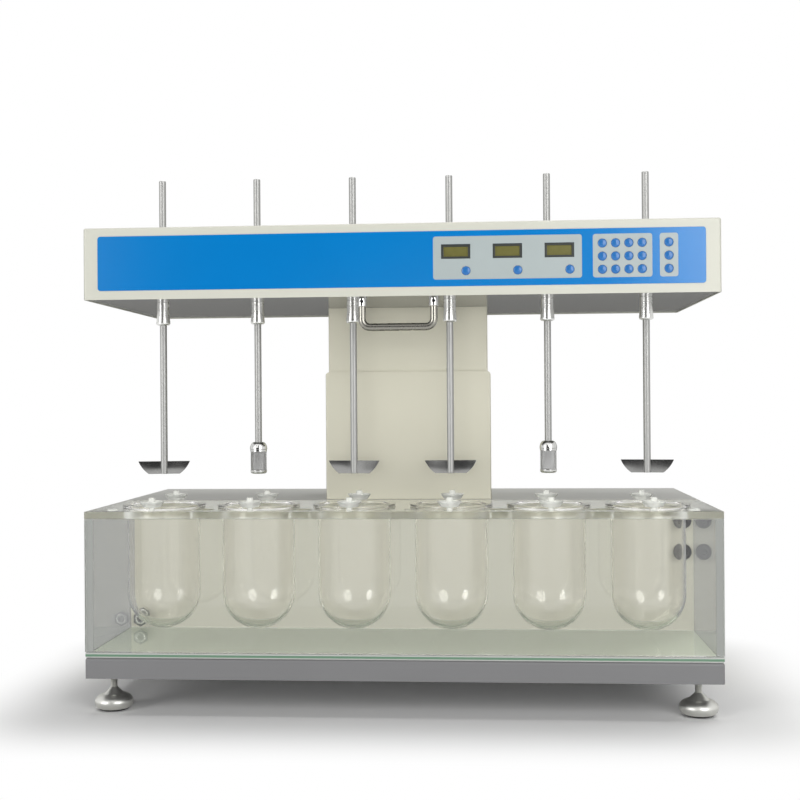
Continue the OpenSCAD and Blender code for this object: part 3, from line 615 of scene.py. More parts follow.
cabinet_low, cabinet_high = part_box("rear_cabinet")
inlet_low, inlet_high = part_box("power_inlet")
switch_low, switch_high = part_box("power_switch")
cabinet_sheet = 1.5 * mm
cabinet_bend = 2 * mm
wall_y = cabinet_high.y
inlet_middle = (inlet_low + inlet_high) / 2
switch_middle = (switch_low + switch_high) / 2
inlet_middle.y = switch_middle.y = wall_y
inlet_opening = Vector((16 * mm, 5 * mm, 12 * mm))
switch_opening = Vector((10.3 * mm, 5 * mm, 13.3 * mm))
screw_inset, inner_screw = 14 * mm, 160 * mm
screw_columns = [cabinet_low.x + screw_inset, -inner_screw, inner_screw, cabinet_high.x - screw_inset]
screw_rows = [cabinet_low.z + screw_inset, cabinet_high.z - 2 * screw_inset]
# Powder coat: warm cream, half dull, with a soft peel. Bright plate mirrors the room sharply.
cream_coat = enamel("cream powder coat", "#D0CDBC", "#CBC9B7", 0.38)
chrome = bright_metal("polished bright plate", "#D2D2D0", 0.12, 8 * mm)
cabinet = bend(add_block(cabinet_low, cabinet_high), cabinet_bend, 4, stands)
thicken(open_faces(cabinet, lambda middle, normal: abs(normal.z) > 0.9), cabinet_sheet)
cut(cabinet, add_block(inlet_middle - inlet_opening, inlet_middle + inlet_opening),
    add_block(switch_middle - switch_opening, switch_middle + switch_opening))
cut(cabinet, *[round_bar(x, cabinet_low.y, z, port_hole, True) for x, z in port_places])
coat(smooth(cabinet), cream_coat)
back_screws = copies(pan_screw(4 * mm), [(x, wall_y, z) for x in screw_columns for z in screw_rows])
fit(join([cabinet] + back_screws), "folded_rear_cabinet", None, "base", "cream_paint", "rear_cabinet")


# Rear deck
# The grey cover of the cabinet, folded from sheet steel with a lip down its back edge and a
# cut-out that the column stands in.

deck_low, deck_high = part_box("rear_deck")
sleeve_low, sleeve_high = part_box("column_sleeve")
deck_sheet = 2 * mm
deck_bend = 2.5 * mm
column_gap = Vector((0.4 * mm, 0.4 * mm, 0))
# Satin enamel whose grey is made lighter as painted light against the head's shade over it; it mirrors the
# column faintly.
deck_enamel_painted_light = enamel("satin grey enamel lightened as painted light", "#C4C4C0", "#C0C0BC", 0.32)
deck = add_block((deck_low.x, deck_low.y, deck_high.z - deck_sheet), deck_high)
open_faces(deck, lambda middle, normal: normal.z < -0.9 or normal.y < -0.9 or abs(normal.x) > 0.9)
pick(deck, "VERT", lambda middle, normal: middle.z < deck_high.z - mm)
bpy.ops.transform.translate(value=(0, 0, deck_low.z + deck_sheet - deck_high.z))
bend(deck, deck_bend, 5, lambda middle, run: middle.y > deck_high.y - mm and middle.z > deck_high.z - mm)
cut(thicken(deck, deck_sheet), add_block(sleeve_low - column_gap, sleeve_high + column_gap))
fit(round_edges(deck, 0.4 * mm), "folded_rear_deck", deck_enamel_painted_light, "base", "grey_paint", "rear_deck")


# Heater and pump
# The moulded heater body, pump and pipes that circulate the bath water, inside the cabinet: dull
# grey plastic with a fine grain.

def carry_over(finish, *nodes):
    """Gives solids that are shown as they are their finish."""
    for node in nodes:
        coat(frame["nodes"][node], finish)


carry_over(grained("moulded grey pump plastic", "#5E5F62", 0.5, 1.2 * mm), "circulation_heater")


# Mains inlet
# A moulded appliance inlet in the back wall: a flange with two screws round a keyed socket
# with three flat pins.

def inlet_block(half_x, half_z, low_y, high_y):
    """A block about the middle of the inlet."""
    return add_block((inlet_middle.x - half_x, low_y, inlet_middle.z - half_z),
                     (inlet_middle.x + half_x, high_y, inlet_middle.z + half_z))


inlet_sheet = inlet_high.y - wall_y
flange_corner, socket_corner = 6 * mm, 5 * mm
socket_depth = 17 * mm
pin_sink = 4 * mm
inlet_screw_x = 20 * mm
inlet_body = inlet_block(15.5 * mm, 11.5 * mm, inlet_low.y, wall_y + mm)
inlet_flange = add_block((inlet_low.x, wall_y, inlet_low.z), inlet_high)
bend(inlet_flange, flange_corner, 6, lambda middle, run: abs(run.y) > 0.9)
combine(inlet_body, "UNION", inlet_flange)
socket = inlet_block(12.5 * mm, 8.5 * mm, inlet_high.y - socket_depth, inlet_high.y + mm)
bend(socket, socket_corner, 1, lambda middle, run: abs(run.y) > 0.9 and middle.z < inlet_middle.z)
coat(round_edges(cut(inlet_body, socket), 0.5 * mm), black_plastic)
# Plated contacts: warm bright steel.
pin_steel = bright_metal("plated contact steel", "#C9C6BC", 0.2, 3 * mm)
pin = add_block((-1 * mm, inlet_sheet - socket_depth, -2 * mm), (1 * mm, inlet_sheet - pin_sink, 2 * mm))
pins = copies(coat(round_edges(pin, 0.4 * mm), pin_steel),
              [inlet_middle + Vector((x * mm, 0, z * mm)) for x, z in ((-7, -2), (0, 2), (7, -2))])
inlet_screws = copies(pan_screw(2.5 * mm), [(inlet_middle.x + side * inlet_screw_x, inlet_high.y,
                                             inlet_middle.z) for side in (-1, 1)])
inlet = join([inlet_body] + pins + inlet_screws)
fit(inlet, "mains_inlet_socket", None, "base", "black_plastic", "power_inlet")


# Rocker switch
# A moulded rocker that tips in the back wall, its face hollowed to the finger on both sides. It is
# near black with a soft sheen, like the inlet.

finger_hollow = 2.2 * mm
rocker_half = (switch_high.z - switch_low.z) / 2
rocker = add_block(switch_low, switch_high)
pick(rocker, "FACE", lambda middle, normal: normal.y > 0.9)
bpy.ops.mesh.subdivide(number_cuts=7)
mesh = bmesh.from_edit_mesh(rocker.data)
for corner in mesh.verts:
    if corner.co.y > switch_high.y - 1e-5:
        tip = abs(corner.co.z - switch_middle.z) / rocker_half
        corner.co.y -= finger_hollow * math.sin(math.pi * min(tip, 1) * 0.9)
bmesh.update_edit_mesh(rocker.data)
round_edges(close(rocker), 0.5 * mm)
fit(rocker, "rocker_switch", black_plastic, "power_switch", "black_plastic", "power_switch")


# Column
# Two rectangular tubes of folded sheet steel, one sliding in the other on plastic pads, with a
# strut inside that carries the head's weight. Both are powder coated cream like the cabinet.

slide_low, slide_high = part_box("column_slide")
column_sheet = 2 * mm
column_bend = 3 * mm
sleeve_corner = 6 * mm


def column_tube(low, high, corner):
    """A tube with bent upright edges; the corners of its front and back at the top are rounded."""
    tube = bend(add_block(low, high), column_bend, 5, stands)
    thicken(open_faces(tube, lambda middle, normal: abs(normal.z) > 0.9), column_sheet)
    for side in (-1, 1) if corner else ():
        outer_x = high.x if side > 0 else low.x
        notch = add_block((outer_x - corner, low.y - mm, high.z - corner),
                          (outer_x + corner, high.y + mm, high.z + corner))
        roll = add_shape("cylinder", vertices=64, radius=corner, depth=2 * (high.y - low.y),
                         location=(outer_x - side * corner, (low.y + high.y) / 2, high.z - corner),
                         rotation=to_front)
        cut(tube, cut(notch, roll))
    return round_edges(tube, 0.4 * mm)


sleeve = column_tube(sleeve_low, sleeve_high, sleeve_corner)
fit(sleeve, "outer_column", cream_coat, "base", "cream_paint", "column_sleeve")
slide = column_tube(slide_low, slide_high, 0)
fit(slide, "inner_column", cream_coat, "head", "cream_paint", "column_slide")
# Slippery plastic is white and waxy, the strut's body glossy black, its rod bright.
carry_over(grained("white slide plastic", "#EDEDE8", 0.4, 1.5 * mm), "column_glides")
carry_over(enamel("black strut paint", "#2B2B2D", "#262628", 0.35), "lift_strut_cylinder")
carry_over(chrome, "lift_strut_rod")


# Head casing
# The drive head's cover, folded and welded from sheet steel with rounded corners and powder
# coated cream. Holes in its top let the stirrer shafts rise; its face is cut for keys and displays.

casing_low, casing_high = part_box("head_casing")
casing_sheet = 1.5 * mm
casing_corner = 4 * mm
casing_bend = 2.5 * mm
shaft_hole = 14 * mm
face_gap = 0.3 * mm
face_cut = 20 * mm
key_nodes = [f"{group}_key_{i}" for group, count in (("display", 3), ("pad", 12), ("mode", 3))
             for i in range(1, count + 1)]
key_places = [(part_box(node)[0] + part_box(node)[1]) / 2 for node in key_nodes]
key_low, key_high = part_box("pad_key_1")
key_radius = (key_high.x - key_low.x) / 2
lcd_low, lcd_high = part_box("lcd_displays")
lcd_size = Vector((40 * mm, 0, 20 * mm))
lcd_border = 2 * mm
lcd_pitch = 70.5 * mm
lcd_first = Vector((lcd_low.x + lcd_size.x / 2 + lcd_border, lcd_low.y, (lcd_low.z + lcd_high.z) / 2))
lcd_steps = [(step * lcd_pitch, 0, 0) for step in range(3)]


def cut_face(piece, y, window_gap):
    """Cuts a piece of the head's face through for the keys and the display windows."""
    cutters = [round_bar(key.x, y, key.z, 2 * (key_radius + face_gap), True) for key in key_places]
    reach = lcd_size / 2 + Vector((window_gap, face_cut / 2, window_gap))
    for step in lcd_steps:
        middle = Vector((lcd_first.x, y, lcd_first.z)) + Vector(step)
        cutters.append(add_block(middle - reach, middle + reach))
    return cut(piece, *cutters)


# Powder coat: a greyer cream than the column's, with the same soft peel.
casing_coat = enamel("pale cream powder coat", "#BFBFB4", "#BBBBB0", 0.38)
casing = bend(add_block(casing_low, casing_high), casing_corner, 6, stands)
bend(casing, casing_bend, 4, lambda middle, run: middle.z > casing_high.z - mm)
thicken(open_faces(casing, lambda middle, normal: normal.z < -0.9), casing_sheet)
cut_face(casing, casing_low.y, lcd_border + face_gap)
cut(casing, *[round_bar(station.x, station.y, casing_high.z, shaft_hole) for station in stations])
fit(smooth(casing), "drive_head_casing", casing_coat, "head", "cream_paint", "head_casing")


# Bottom plate
# A thick steel plate that closes the head and carries the spindles; its glossy dark grey enamel
# mirrors the column.

bottom_low, bottom_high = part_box("head_bottom_plate")
quill_hole = 17.2 * mm
dark_enamel = enamel("gloss dark grey enamel", "#64645F", "#60605B", 0.16)
bottom = bend(add_block(bottom_low, bottom_high), casing_corner - casing_sheet, 4, stands)
cut(bottom, *[round_bar(station.x, station.y, bottom_low.z, quill_hole) for station in stations])
round_edges(bottom, 0.3 * mm)
fit(bottom, "head_floor_plate", dark_enamel, "head", "dark_grey_paint", "head_bottom_plate")


# Control panel
# A printed polyester overlay stuck on the head's face: deep blue, with light grey fields round
# the displays and the keys. Its satin face is embossed with a very fine grain.

def printed_film(name, code, shade, roughness):
    """Printed polyester film: even ink under a satin face with a fine embossed grain."""
    made = mottle(new_finish(name, {"Roughness": roughness, "IOR": 1.5}), 60 * mm, 2, code, shade)
    return emboss(made, 0.7 * mm, 1, 0.1, 0.05 * mm)


def film_plate(low, high, corner, edge):
    """A flat plate in the plane of the head's face with round corners."""
    made = bend(add_block(low, high), corner, 6, lambda middle, run: abs(run.y) > 0.9)
    return round_edges(cut_face(made, low[1], 0), edge)


panel_low, panel_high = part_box("control_panel")
panel_corner, field_corner = 4 * mm, 3.5 * mm
field_rise = 0.2 * mm
field_low, field_high = 602 * mm, 661 * mm
field_spans = ((50.5 * mm, 252.8 * mm), (267.6 * mm, 347.3 * mm), (357.3 * mm, 381.9 * mm))
blue_film = printed_film("blue printed film", "#0070B5", "#006DB1", 0.18)
grey_film = printed_film("light grey printed film", "#9CA5A5", "#98A1A1", 0.35)
overlay_parts = [coat(film_plate(panel_low, panel_high, panel_corner, 0.25 * mm), blue_film)]
for left, right in field_spans:
    field = film_plate((left, panel_low.y - field_rise, field_low), (right, panel_low.y, field_high),
                       field_corner, 0.08 * mm)
    overlay_parts.append(coat(field, grey_film))
fit(join(overlay_parts), "printed_control_overlay", None, "head", "blue_overlay", "control_panel")


# Displays
# Three reflective liquid-crystal modules behind the overlay's windows: a dark frame round an
# olive screen under glass.

screen_margin = 3.2 * mm
screen_sink = 2.2 * mm
frame_plastic = grained("dark display frame", "#2C2F2C", 0.4, 0.6 * mm)
# Liquid crystal over a dull mirror: murky olive, with the sharp gloss of its cover glass on top.
screen = new_finish("olive reflective screen", {"Roughness": 0.25, "IOR": 1.5, "Coat Weight": 0.5,
                                                "Coat Roughness": 0.05})
mottle(screen, 9 * mm, 2, "#686535", "#5D5A2D")
reach = lcd_size / 2 + Vector((lcd_border, 0, lcd_border))
module = add_block(lcd_first - reach, lcd_first + reach + Vector((0, lcd_high.y - lcd_low.y, 0)))
coat(module, frame_plastic)
module.data.materials.append(screen)
pick(module, "FACE", lambda middle, normal: normal.y < -0.9)
bpy.ops.mesh.inset(thickness=lcd_border + screen_margin)
bpy.ops.mesh.extrude_region_move(TRANSFORM_OT_translate={"value": (0, screen_sink, 0)})
module.active_material_index = 1
bpy.ops.object.material_slot_assign()
modules = copies(round_edges(close(module), 0.25 * mm), lcd_steps)
fit(join(modules), "display_modules", None, "head", "display_glass", "lcd_displays")


# Control board
# The printed circuit board that carries the displays and the key switches, inside the head, under
# a glossy green solder mask.

carry_over(grained("green solder mask", "#1F5A2E", 0.35, 2 * mm), "control_board")


# Keys
# Eighteen round domed keys moulded in glossy blue, each pressed through its hole in the overlay;
# every dome shows a small highlight.

key_length = key_high.y - key_low.y
key_dome = 1.3 * mm
dome_start = 15
dome_width = key_radius / math.cos(math.radians(dome_start))
dome_rise = key_dome / (1 - math.sin(math.radians(dome_start)))
key_outline = [(0, 0), (key_radius, 0, 0.4 * mm)]
key_outline += arc((0, key_length - dome_rise), (dome_width, dome_rise), dome_start, 90, 8)
key_blue = grained("glossy blue key plastic", "#2A66A4", 0.12, 2 * mm)
first_key = set_down(turn(key_outline, 40), (0, key_high.y, 0), to_front)
for node, key in zip(key_nodes, copies(first_key, [(place.x, 0, place.z) for place in key_places])):
    fit(key, node + "_cap", key_blue, node, "blue_key", node)


# Lift handle
# A pull bent from bright plated steel rod and screwed to the bottom plate, with a collar and a
# dark set screw at the top of each leg.

handle_low, handle_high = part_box("lift_handle")
handle_rod = handle_high.y - handle_low.y
leg_x = handle_high.x - handle_rod / 2
handle_y = (handle_low.y + handle_high.y) / 2
handle_corner = 11 * mm
bar_half = leg_x - handle_corner
bend_z = handle_low.z + handle_rod / 2 + handle_corner
leg_drop = handle_high.z - bend_z
handle = add_shape("circle", vertices=32, radius=handle_rod / 2, location=(-leg_x, handle_y, handle_high.z))
bpy.ops.object.mode_set(mode="EDIT")
bpy.ops.mesh.select_all(action="SELECT")
for run, bend_x in (((0, 0, -leg_drop), -bar_half), ((2 * bar_half, 0, 0), bar_half)):
    bpy.ops.mesh.extrude_edges_move(TRANSFORM_OT_translate={"value": run})
    bpy.ops.mesh.spin(steps=10, angle=math.pi / 2, axis=(0, 1, 0), center=(bend_x, handle_y, bend_z))
bpy.ops.mesh.extrude_edges_move(TRANSFORM_OT_translate={"value": (0, 0, leg_drop)})
bpy.ops.mesh.select_all(action="SELECT")
bpy.ops.mesh.remove_doubles(threshold=1e-6)
bpy.ops.mesh.fill_holes(sides=0)
bpy.ops.mesh.normals_make_consistent(inside=False)
# Bright plate whose colour is darkened as painted shade: it mirrors the head in soft dark bands. The set
# screws are black.
handle_plate_painted_dark = bright_metal("bright plate darkened as painted shade", "#96948C", 0.28, 8 * mm)
set_screw_steel = bright_metal("black oxide steel", "#35353A", 0.35, 2 * mm)
coat(smooth(close(handle)), handle_plate_painted_dark)
collar_bore, collar_radius = handle_rod / 2 - 0.5 * mm, 6.6 * mm
collar_height = 14 * mm
collar_low = handle_high.z - collar_height
collar_outline = [(collar_bore, handle_high.z), (collar_radius, handle_high.z),
                  (collar_radius, collar_low, 1 * mm), (collar_bore, collar_low),
                  (collar_bore, handle_high.z)]
collars = copies(coat(turn(collar_outline, 40), chrome), [(side * leg_x, handle_y, 0) for side in (-1, 1)])
hex_bore, set_screw_radius = 1 * mm, 2.6 * mm
set_screw_head, set_screw_tail, set_screw_seat = 1.5 * mm, -2 * mm, 6 * mm
set_screw_outline = [(hex_bore, 0), (hex_bore, set_screw_head, 0.2 * mm),
                     (set_screw_radius, set_screw_head, 0.3 * mm), (set_screw_radius, set_screw_tail),
                     (hex_bore, set_screw_tail), (hex_bore, 0)]
set_screw = coat(set_down(turn(set_screw_outline, 24), turned=to_front), set_screw_steel)
set_screws = copies(set_screw, [(side * leg_x, handle_y - set_screw_seat, handle_high.z - collar_height / 2)
                                for side in (-1, 1)])
fit(join([handle] + collars + set_screws), "lift_pull", None, "head", "chrome", "lift_handle")


# Drive
# Inside the head: warm bronze bushes on the bottom plate, a dull grey motor with its bright
# aluminium pulley, and matt black rubber belts that join the spindles.

carry_over(bright_metal("machined bearing bronze", "#B98A4A", 0.3, 3 * mm), "spindle_bushes")
carry_over(grained("moulded belt rubber", "#141414", 0.7, 1 * mm), "drive_belts")
carry_over(grained("grey motor housing", "#59595E", 0.45, 1.5 * mm), "drive_motor")
carry_over(bright_metal("turned aluminium", "#B9B9BC", 0.3, 2 * mm), "motor_pulley")


# Spindles
# Hollow steel spindles, each with the bright plated chuck that shows under the head and an
# aluminium pulley with two belt tracks inside it.

spindle_low, spindle_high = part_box("spindle_1")
bore = 5.05 * mm
chuck, chuck_end, chuck_flare = 8.75 * mm, 10.5 * mm, 18 * mm
quill = 8 * mm
chuck_top = bottom_low.z - 0.3 * mm
track, flange = 20 * mm, 22.5 * mm
flange_thick, track_step = 1.5 * mm, 10.7 * mm
motor_hub = 8 * mm
pulley_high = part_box("motor_pulley")[1].z - motor_hub
pulley_low = pulley_high - 2 * track_step - flange_thick
spindle_outline = [(bore, spindle_low.z, 0.4 * mm), (chuck_end, spindle_low.z, 3.5 * mm),
                   (chuck, spindle_low.z + chuck_flare), (chuck, chuck_top), (quill, chuck_top),
                   (quill, pulley_low)]
for level in range(3):
    flange_low = pulley_low + level * track_step
    spindle_outline += [(flange, flange_low), (flange, flange_low + flange_thick)]
    if level < 2:
        spindle_outline += [(track, flange_low + flange_thick), (track, flange_low + track_step)]
spindle_outline += [(quill, pulley_high), (quill, spindle_high.z), (bore, spindle_high.z),
                    (bore, spindle_low.z)]
# Satin plate: bright, with the dark and light of the room drawn out into upright bands.
chuck_plate = bright_metal("satin chuck plate", "#DEDEDB", 0.28, 8 * mm)
for number, spindle in enumerate(copies(turn(spindle_outline, 64), station_spots), 1):
    fit(spindle, f"drive_spindle_{number}", chuck_plate, f"spindle_{number}", "chrome", f"spindle_{number}")


# Stirrers
# Ground stainless shafts held in the chucks. Four carry a flat paddle welded in a slot; two
# carry a basket of wire mesh under a vented cap.

stirrer_low, stirrer_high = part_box("stirrer_1")
shaft_radius = 5 * mm
paddle_turns = {1: 10, 3: -6, 4: 3, 6: -8}
blade_top, blade_low = 74.5 * mm, 45 * mm
blade_height, blade_thick, blade_round = 18.5 * mm, 4 * mm, 41.5 * mm
# Ground steel: a grey sheen that blurs what it mirrors.
shaft_steel = bright_metal("ground stainless steel", "#A2A2A0", 0.48, 6 * mm)
# Satin sheet that isn't quite flat: a slow sway and a slight crown across the blade, so that it
# is dark along its top and pale below.
blade_steel = emboss(bright_metal("satin blade steel", "#A0A09E", 0.2, 6 * mm), 50 * mm, 0, 1, 5 * mm)
tree, shader, place = parts_of(blade_steel)
sway = shader.inputs["Normal"].links[0].from_socket
point = add_node(tree, "ShaderNodeSeparateXYZ", {"Vector": place})
across = add_node(tree, "ShaderNodeMapRange", {"Value": point.outputs["Z"], "From Min": stirrer_low.z,
                                               "From Max": stirrer_low.z + blade_height, "To Min": -1})
crown = add_node(tree, "ShaderNodeMath", {0: across.outputs["Result"], 1: across.outputs["Result"]},
                 operation="MULTIPLY")
crowned = add_node(tree, "ShaderNodeBump", {"Height": crown.outputs["Value"], "Strength": 1,
                                            "Distance": 0.5 * mm, "Normal": sway}, invert=True)
tree.links.new(crowned.outputs["Normal"], shader.inputs["Normal"])

# The paddle's sides are arcs through the ends of its top and bottom edges.
chord = Vector(((blade_top - blade_low) / 2, 0, blade_height))
chord_middle = Vector(((blade_top + blade_low) / 4, 0, stirrer_low.z + blade_height / 2))
arc_reach = math.sqrt(blade_round ** 2 - (chord.length / 2) ** 2)
arc_centre = chord_middle + Vector((-chord.z, 0, chord.x)).normalized() * arc_reach
blade = add_block((-blade_top / 2, -blade_thick / 2, stirrer_low.z),
                  (blade_top / 2, blade_thick / 2, stirrer_low.z + blade_height))
for side in (-1, 1):
    disc = round_bar(side * arc_centre.x, 0, arc_centre.z, 2 * blade_round, True, 192)
    combine(blade, "INTERSECT", disc)
coat(round_edges(blade, 0.5 * mm), blade_steel)
shaft_top = [(shaft_radius, stirrer_high.z, 1 * mm), (0, stirrer_high.z)]
shaft = turn([(0, stirrer_low.z), (shaft_radius, stirrer_low.z, 0.5 * mm)] + shaft_top)
first_paddle = join([coat(shaft, shaft_steel), blade])

# The basket's mesh is coarser than the real weave, so that it shows.
basket_radius, basket_height = 12 * mm, 35 * mm
mesh_radius, mesh_height, mesh_wire = 11.4 * mm, 30 * mm, 0.5 * mm
mesh_around, mesh_cuts = 56, 22
mesh_low = stirrer_low.z + 3 * mm
cap_gap = 0.15 * mm
cap_low = stirrer_low.z + basket_height + cap_gap
cap_radius, cap_neck, cap_edge, cap_height = 12.5 * mm, 6 * mm, 1 * mm, 11 * mm
cap_high = cap_low + cap_height
vent_radius, vent_depth, vent_reach = 1.6 * mm, 5 * mm, 11.6 * mm
vent_z = cap_low + 5 * mm
cap_outline = [(0, cap_low), (cap_radius, cap_low, 0.4 * mm), (cap_radius, cap_low + cap_edge)]
cap_outline += arc((cap_neck, cap_low + cap_edge), (cap_radius - cap_neck, cap_height - cap_edge), 10, 90, 8)
cap = turn(cap_outline + [(0, cap_high)])
vents = [add_shape("cylinder", vertices=24, radius=vent_radius, depth=vent_depth,
                   location=(vent_reach * math.cos(a), vent_reach * math.sin(a), vent_z))
         for a in (math.radians(-90), math.radians(30), math.radians(150))]
coat(smooth(cut(cap, *vents)), chrome)
basket_shaft = coat(turn([(0, cap_high), (shaft_radius, cap_high)] + shaft_top), shaft_steel)
weave = add_shape("cylinder", vertices=mesh_around, radius=mesh_radius, depth=mesh_height,
                  end_fill_type="NOTHING", location=(0, 0, mesh_low + mesh_height / 2))
pick(weave, "EDGE", stands)
bpy.ops.mesh.subdivide(number_cuts=mesh_cuts)
shape_with(close(weave), "WIREFRAME", thickness=mesh_wire, use_even_offset=False, use_boundary=True)
basket_parts = [basket_shaft, cap, coat(weave, shaft_steel)]
for low, high, ring_bore, rounding in (
        (stirrer_low.z, mesh_low + 2 * mm, 5 * mm, 3.5 * mm),
        (cap_low - 3.2 * mm, cap_low - cap_gap, basket_radius - 1.2 * mm, 0.4 * mm)):
    ring = turn([(ring_bore, low), (basket_radius, low, rounding), (basket_radius, high, 0.3 * mm),
                 (ring_bore, high), (ring_bore, low)])
    basket_parts.append(coat(ring, chrome))
base_low, base_high = stirrer_low.z + 1.2 * mm, stirrer_low.z + 2 * mm
base_radius = basket_radius - 1 * mm
basket_base = turn([(0, base_low), (base_radius, base_low), (base_radius, base_high), (0, base_high)])
basket_parts.append(coat(basket_base, shaft_steel))
first_basket = join(basket_parts)
for number, spot in enumerate(station_spots, 1):
    if number in paddle_turns:
        stirrer = copy_of(first_paddle, spot, math.radians(paddle_turns[number]))
    else:
        stirrer = copy_of(first_basket, spot)
    fit(stirrer, f"stirring_shaft_{number}", None, f"stirrer_{number}", "stirrer_steel", f"stirrer_{number}")
for first in (first_paddle, first_basket):
    bpy.data.objects.remove(first)


# Floor and backdrop
# A plain pale floor that fades to the white backdrop away from the object. Both glow only where
# the camera sees them straight, in gloss or through glass.

def seen_rays(tree):
    """1 for what the camera sees straight, mirrored or through glass, and 0 for other light."""
    rays = add_node(tree, "ShaderNodeLightPath", {})
    straight = add_node(tree, "ShaderNodeMath", {0: rays.outputs["Is Camera Ray"],
                                                 1: rays.outputs["Is Glossy Ray"]}, operation="MAXIMUM")
    seen = add_node(tree, "ShaderNodeMath", {0: straight.outputs["Value"],
                                             1: rays.outputs["Is Transmission Ray"]}, operation="MAXIMUM")
    return seen.outputs["Value"]


fade_start, fade_end = 0.02, 0.22
floor = add_shape("grid", x_subdivisions=8, y_subdivisions=8, size=16)
floor.name = "studio_floor"
# Matt paint: pale, with a soft shadow round the feet.
floor_paint = new_finish("pale studio floor", {"Base Color": linear("#F4F4F3"), "Roughness": 0.8})
tree, shader, place = parts_of(floor_paint)
folded = add_node(tree, "ShaderNodeVectorMath", {0: place}, operation="ABSOLUTE")
outside = add_node(tree, "ShaderNodeVectorMath", {0: folded.outputs["Vector"], 1: cad_box[1]},
                   operation="SUBTRACT")
beyond = add_node(tree, "ShaderNodeVectorMath", {0: outside.outputs["Vector"], 1: (0, 0, 0)},
                  operation="MAXIMUM")
distance = add_node(tree, "ShaderNodeVectorMath", {0: beyond.outputs["Vector"]}, operation="LENGTH")
fade = add_node(tree, "ShaderNodeMapRange", {"Value": distance.outputs["Value"], "From Min": fade_start,
                                             "From Max": fade_end}, interpolation_type="SMOOTHSTEP")
share = add_node(tree, "ShaderNodeMath", {0: seen_rays(tree), 1: fade.outputs["Result"]},
                 operation="MULTIPLY")
white = add_node(tree, "ShaderNodeEmission", {"Strength": 1})
mixed = add_node(tree, "ShaderNodeMixShader", {0: share.outputs["Value"], 1: shader.outputs["BSDF"],
                                               2: white.outputs["Emission"]})
tree.links.new(mixed.outputs["Shader"], tree.nodes["Material Output"].inputs["Surface"])
floor_paint.cycles.emission_sampling = "NONE"
coat(floor, floor_paint)

world = bpy.data.worlds.new("studio")
bpy.context.scene.world = world
world.use_nodes = True
tree = world.node_tree
fill = tree.nodes["Background"]
fill.inputs["Color"].default_value = (1, 1, 1, 1)
fill.inputs["Strength"].default_value = 0.13
backdrop = add_node(tree, "ShaderNodeBackground", {"Color": (1, 1, 1, 1), "Strength": 1})
mixed = add_node(tree, "ShaderNodeMixShader", {0: seen_rays(tree), 1: fill.outputs["Background"],
                                               2: backdrop.outputs["Background"]})
tree.links.new(mixed.outputs["Shader"], tree.nodes["World Output"].inputs["Surface"])


# Light
# Two tall oval boxes in front, a wide one overhead, and fills in front and behind that give no
# glints. A dark card behind the camera and grey cards behind the object show only in reflections,
# as a studio sets them for glass and bright metal.

def soft_box(name, place, aim, width, height, power):
    """An oval lamp at a place, facing a point."""
    lamp = bpy.data.lights.new(name, "AREA")
    lamp.shape = "ELLIPSE"
    lamp.size = width
    lamp.size_y = height
    lamp.energy = power
    holder = bpy.data.objects.new(name, lamp)
    bpy.context.scene.collection.objects.link(holder)
    holder.location = place
    holder.rotation_euler = (Vector(aim) - Vector(place)).to_track_quat("-Z", "Y").to_euler()
    return holder


soft_box("left box", (-2.6, -2.65, 1.1), (0, -0.1, 0.35), 1.25, 2.2, 42)
soft_box("right box", (1.25, -2.15, 1.05), (0, -0.1, 0.35), 1.4, 1.9, 26)
soft_box("overhead box", (0, 0.1, 2.6), (0, 0.1, 0.4), 2.2, 1.6, 30)
front_fill = soft_box("front fill", (0.1, -3.6, 0.5), (0, 0, 0.4), 1.6, 0.9, 43)
back_fill = soft_box("back fill", (1.9, 2.8, 1.5), (0, 0.2, 0.4), 2.4, 1.4, 50)
for lamp in (front_fill, back_fill):
    lamp.visible_camera = False
    lamp.visible_glossy = False
    lamp.visible_transmission = False


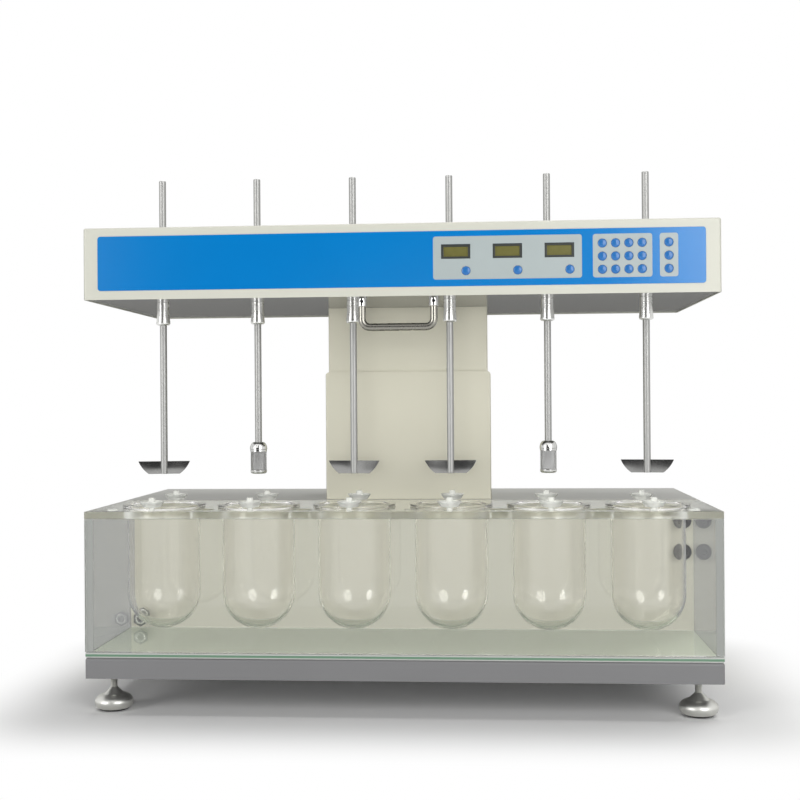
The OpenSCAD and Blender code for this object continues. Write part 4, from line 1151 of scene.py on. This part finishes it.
def reflected_card(name, low, high, y, code):
    """An upright card of even brightness that only reflections see."""
    card = add_shape("grid", x_subdivisions=2, y_subdivisions=2, size=1, rotation=(math.pi / 2, 0, 0))
    card.name = name
    card.scale = (high[0] - low[0], 1, high[1] - low[1])
    card.location = ((high[0] + low[0]) / 2, y, (high[1] + low[1]) / 2)
    bpy.ops.object.transform_apply()
    cloth = new_finish(name + " cloth", {"Base Color": (0, 0, 0, 1), "Roughness": 1, "Specular IOR Level": 0,
                                         "Emission Color": linear(code), "Emission Strength": 1})
    cloth.cycles.emission_sampling = "NONE"
    coat(card, cloth)
    card.visible_camera = False
    card.visible_diffuse = False
    card.visible_transmission = False
    card.visible_shadow = False


reflected_card("front_card", (-1.6, -0.4), (0.85, 3.2), -4, "#242426")
reflected_card("low_back_card", (-5, -0.2), (5, 0.43), 4, "#565654")
reflected_card("middle_back_card", (-5, 0.43), (5, 0.74), 4, "#B2B2AC")
reflected_card("high_back_card", (-5, 0.74), (5, 3), 4, "#C8C8C4")


# Camera
# At the photograph's viewing angle: a little right of the middle and level with the vessels' top.
# It is fitted to the edges of the head and the bath, so its values aren't round ones.

eye = Vector((0.1242, -1.8933, 0.4342))
yaw, pitch, roll = 0.072, 0.002, -0.007
focal_pixels, image_pixels, sensor_width = 1220, 800, 36
forward = Vector((-math.sin(yaw) * math.cos(pitch), math.cos(yaw) * math.cos(pitch), math.sin(pitch)))
level = Vector((math.cos(yaw), math.sin(yaw), 0))
upright = level.cross(forward)
right = level * math.cos(roll) + upright * math.sin(roll)
up = upright * math.cos(roll) - level * math.sin(roll)
lens = bpy.data.cameras.new("camera")
lens.sensor_width = sensor_width
lens.lens = sensor_width * focal_pixels / image_pixels
camera = bpy.data.objects.new("camera", lens)
bpy.context.scene.collection.objects.link(camera)
camera.matrix_world = Matrix.Translation(eye) @ Matrix((right, up, -forward)).transposed().to_4x4()
bpy.context.scene.camera = camera
bpy.context.scene.view_settings.view_transform = "Standard"
bpy.context.scene.cycles.max_bounces = 40
bpy.context.scene.cycles.transmission_bounces = 40
bpy.context.scene.cycles.glossy_bounces = 8
bpy.context.scene.cycles.caustics_refractive = False
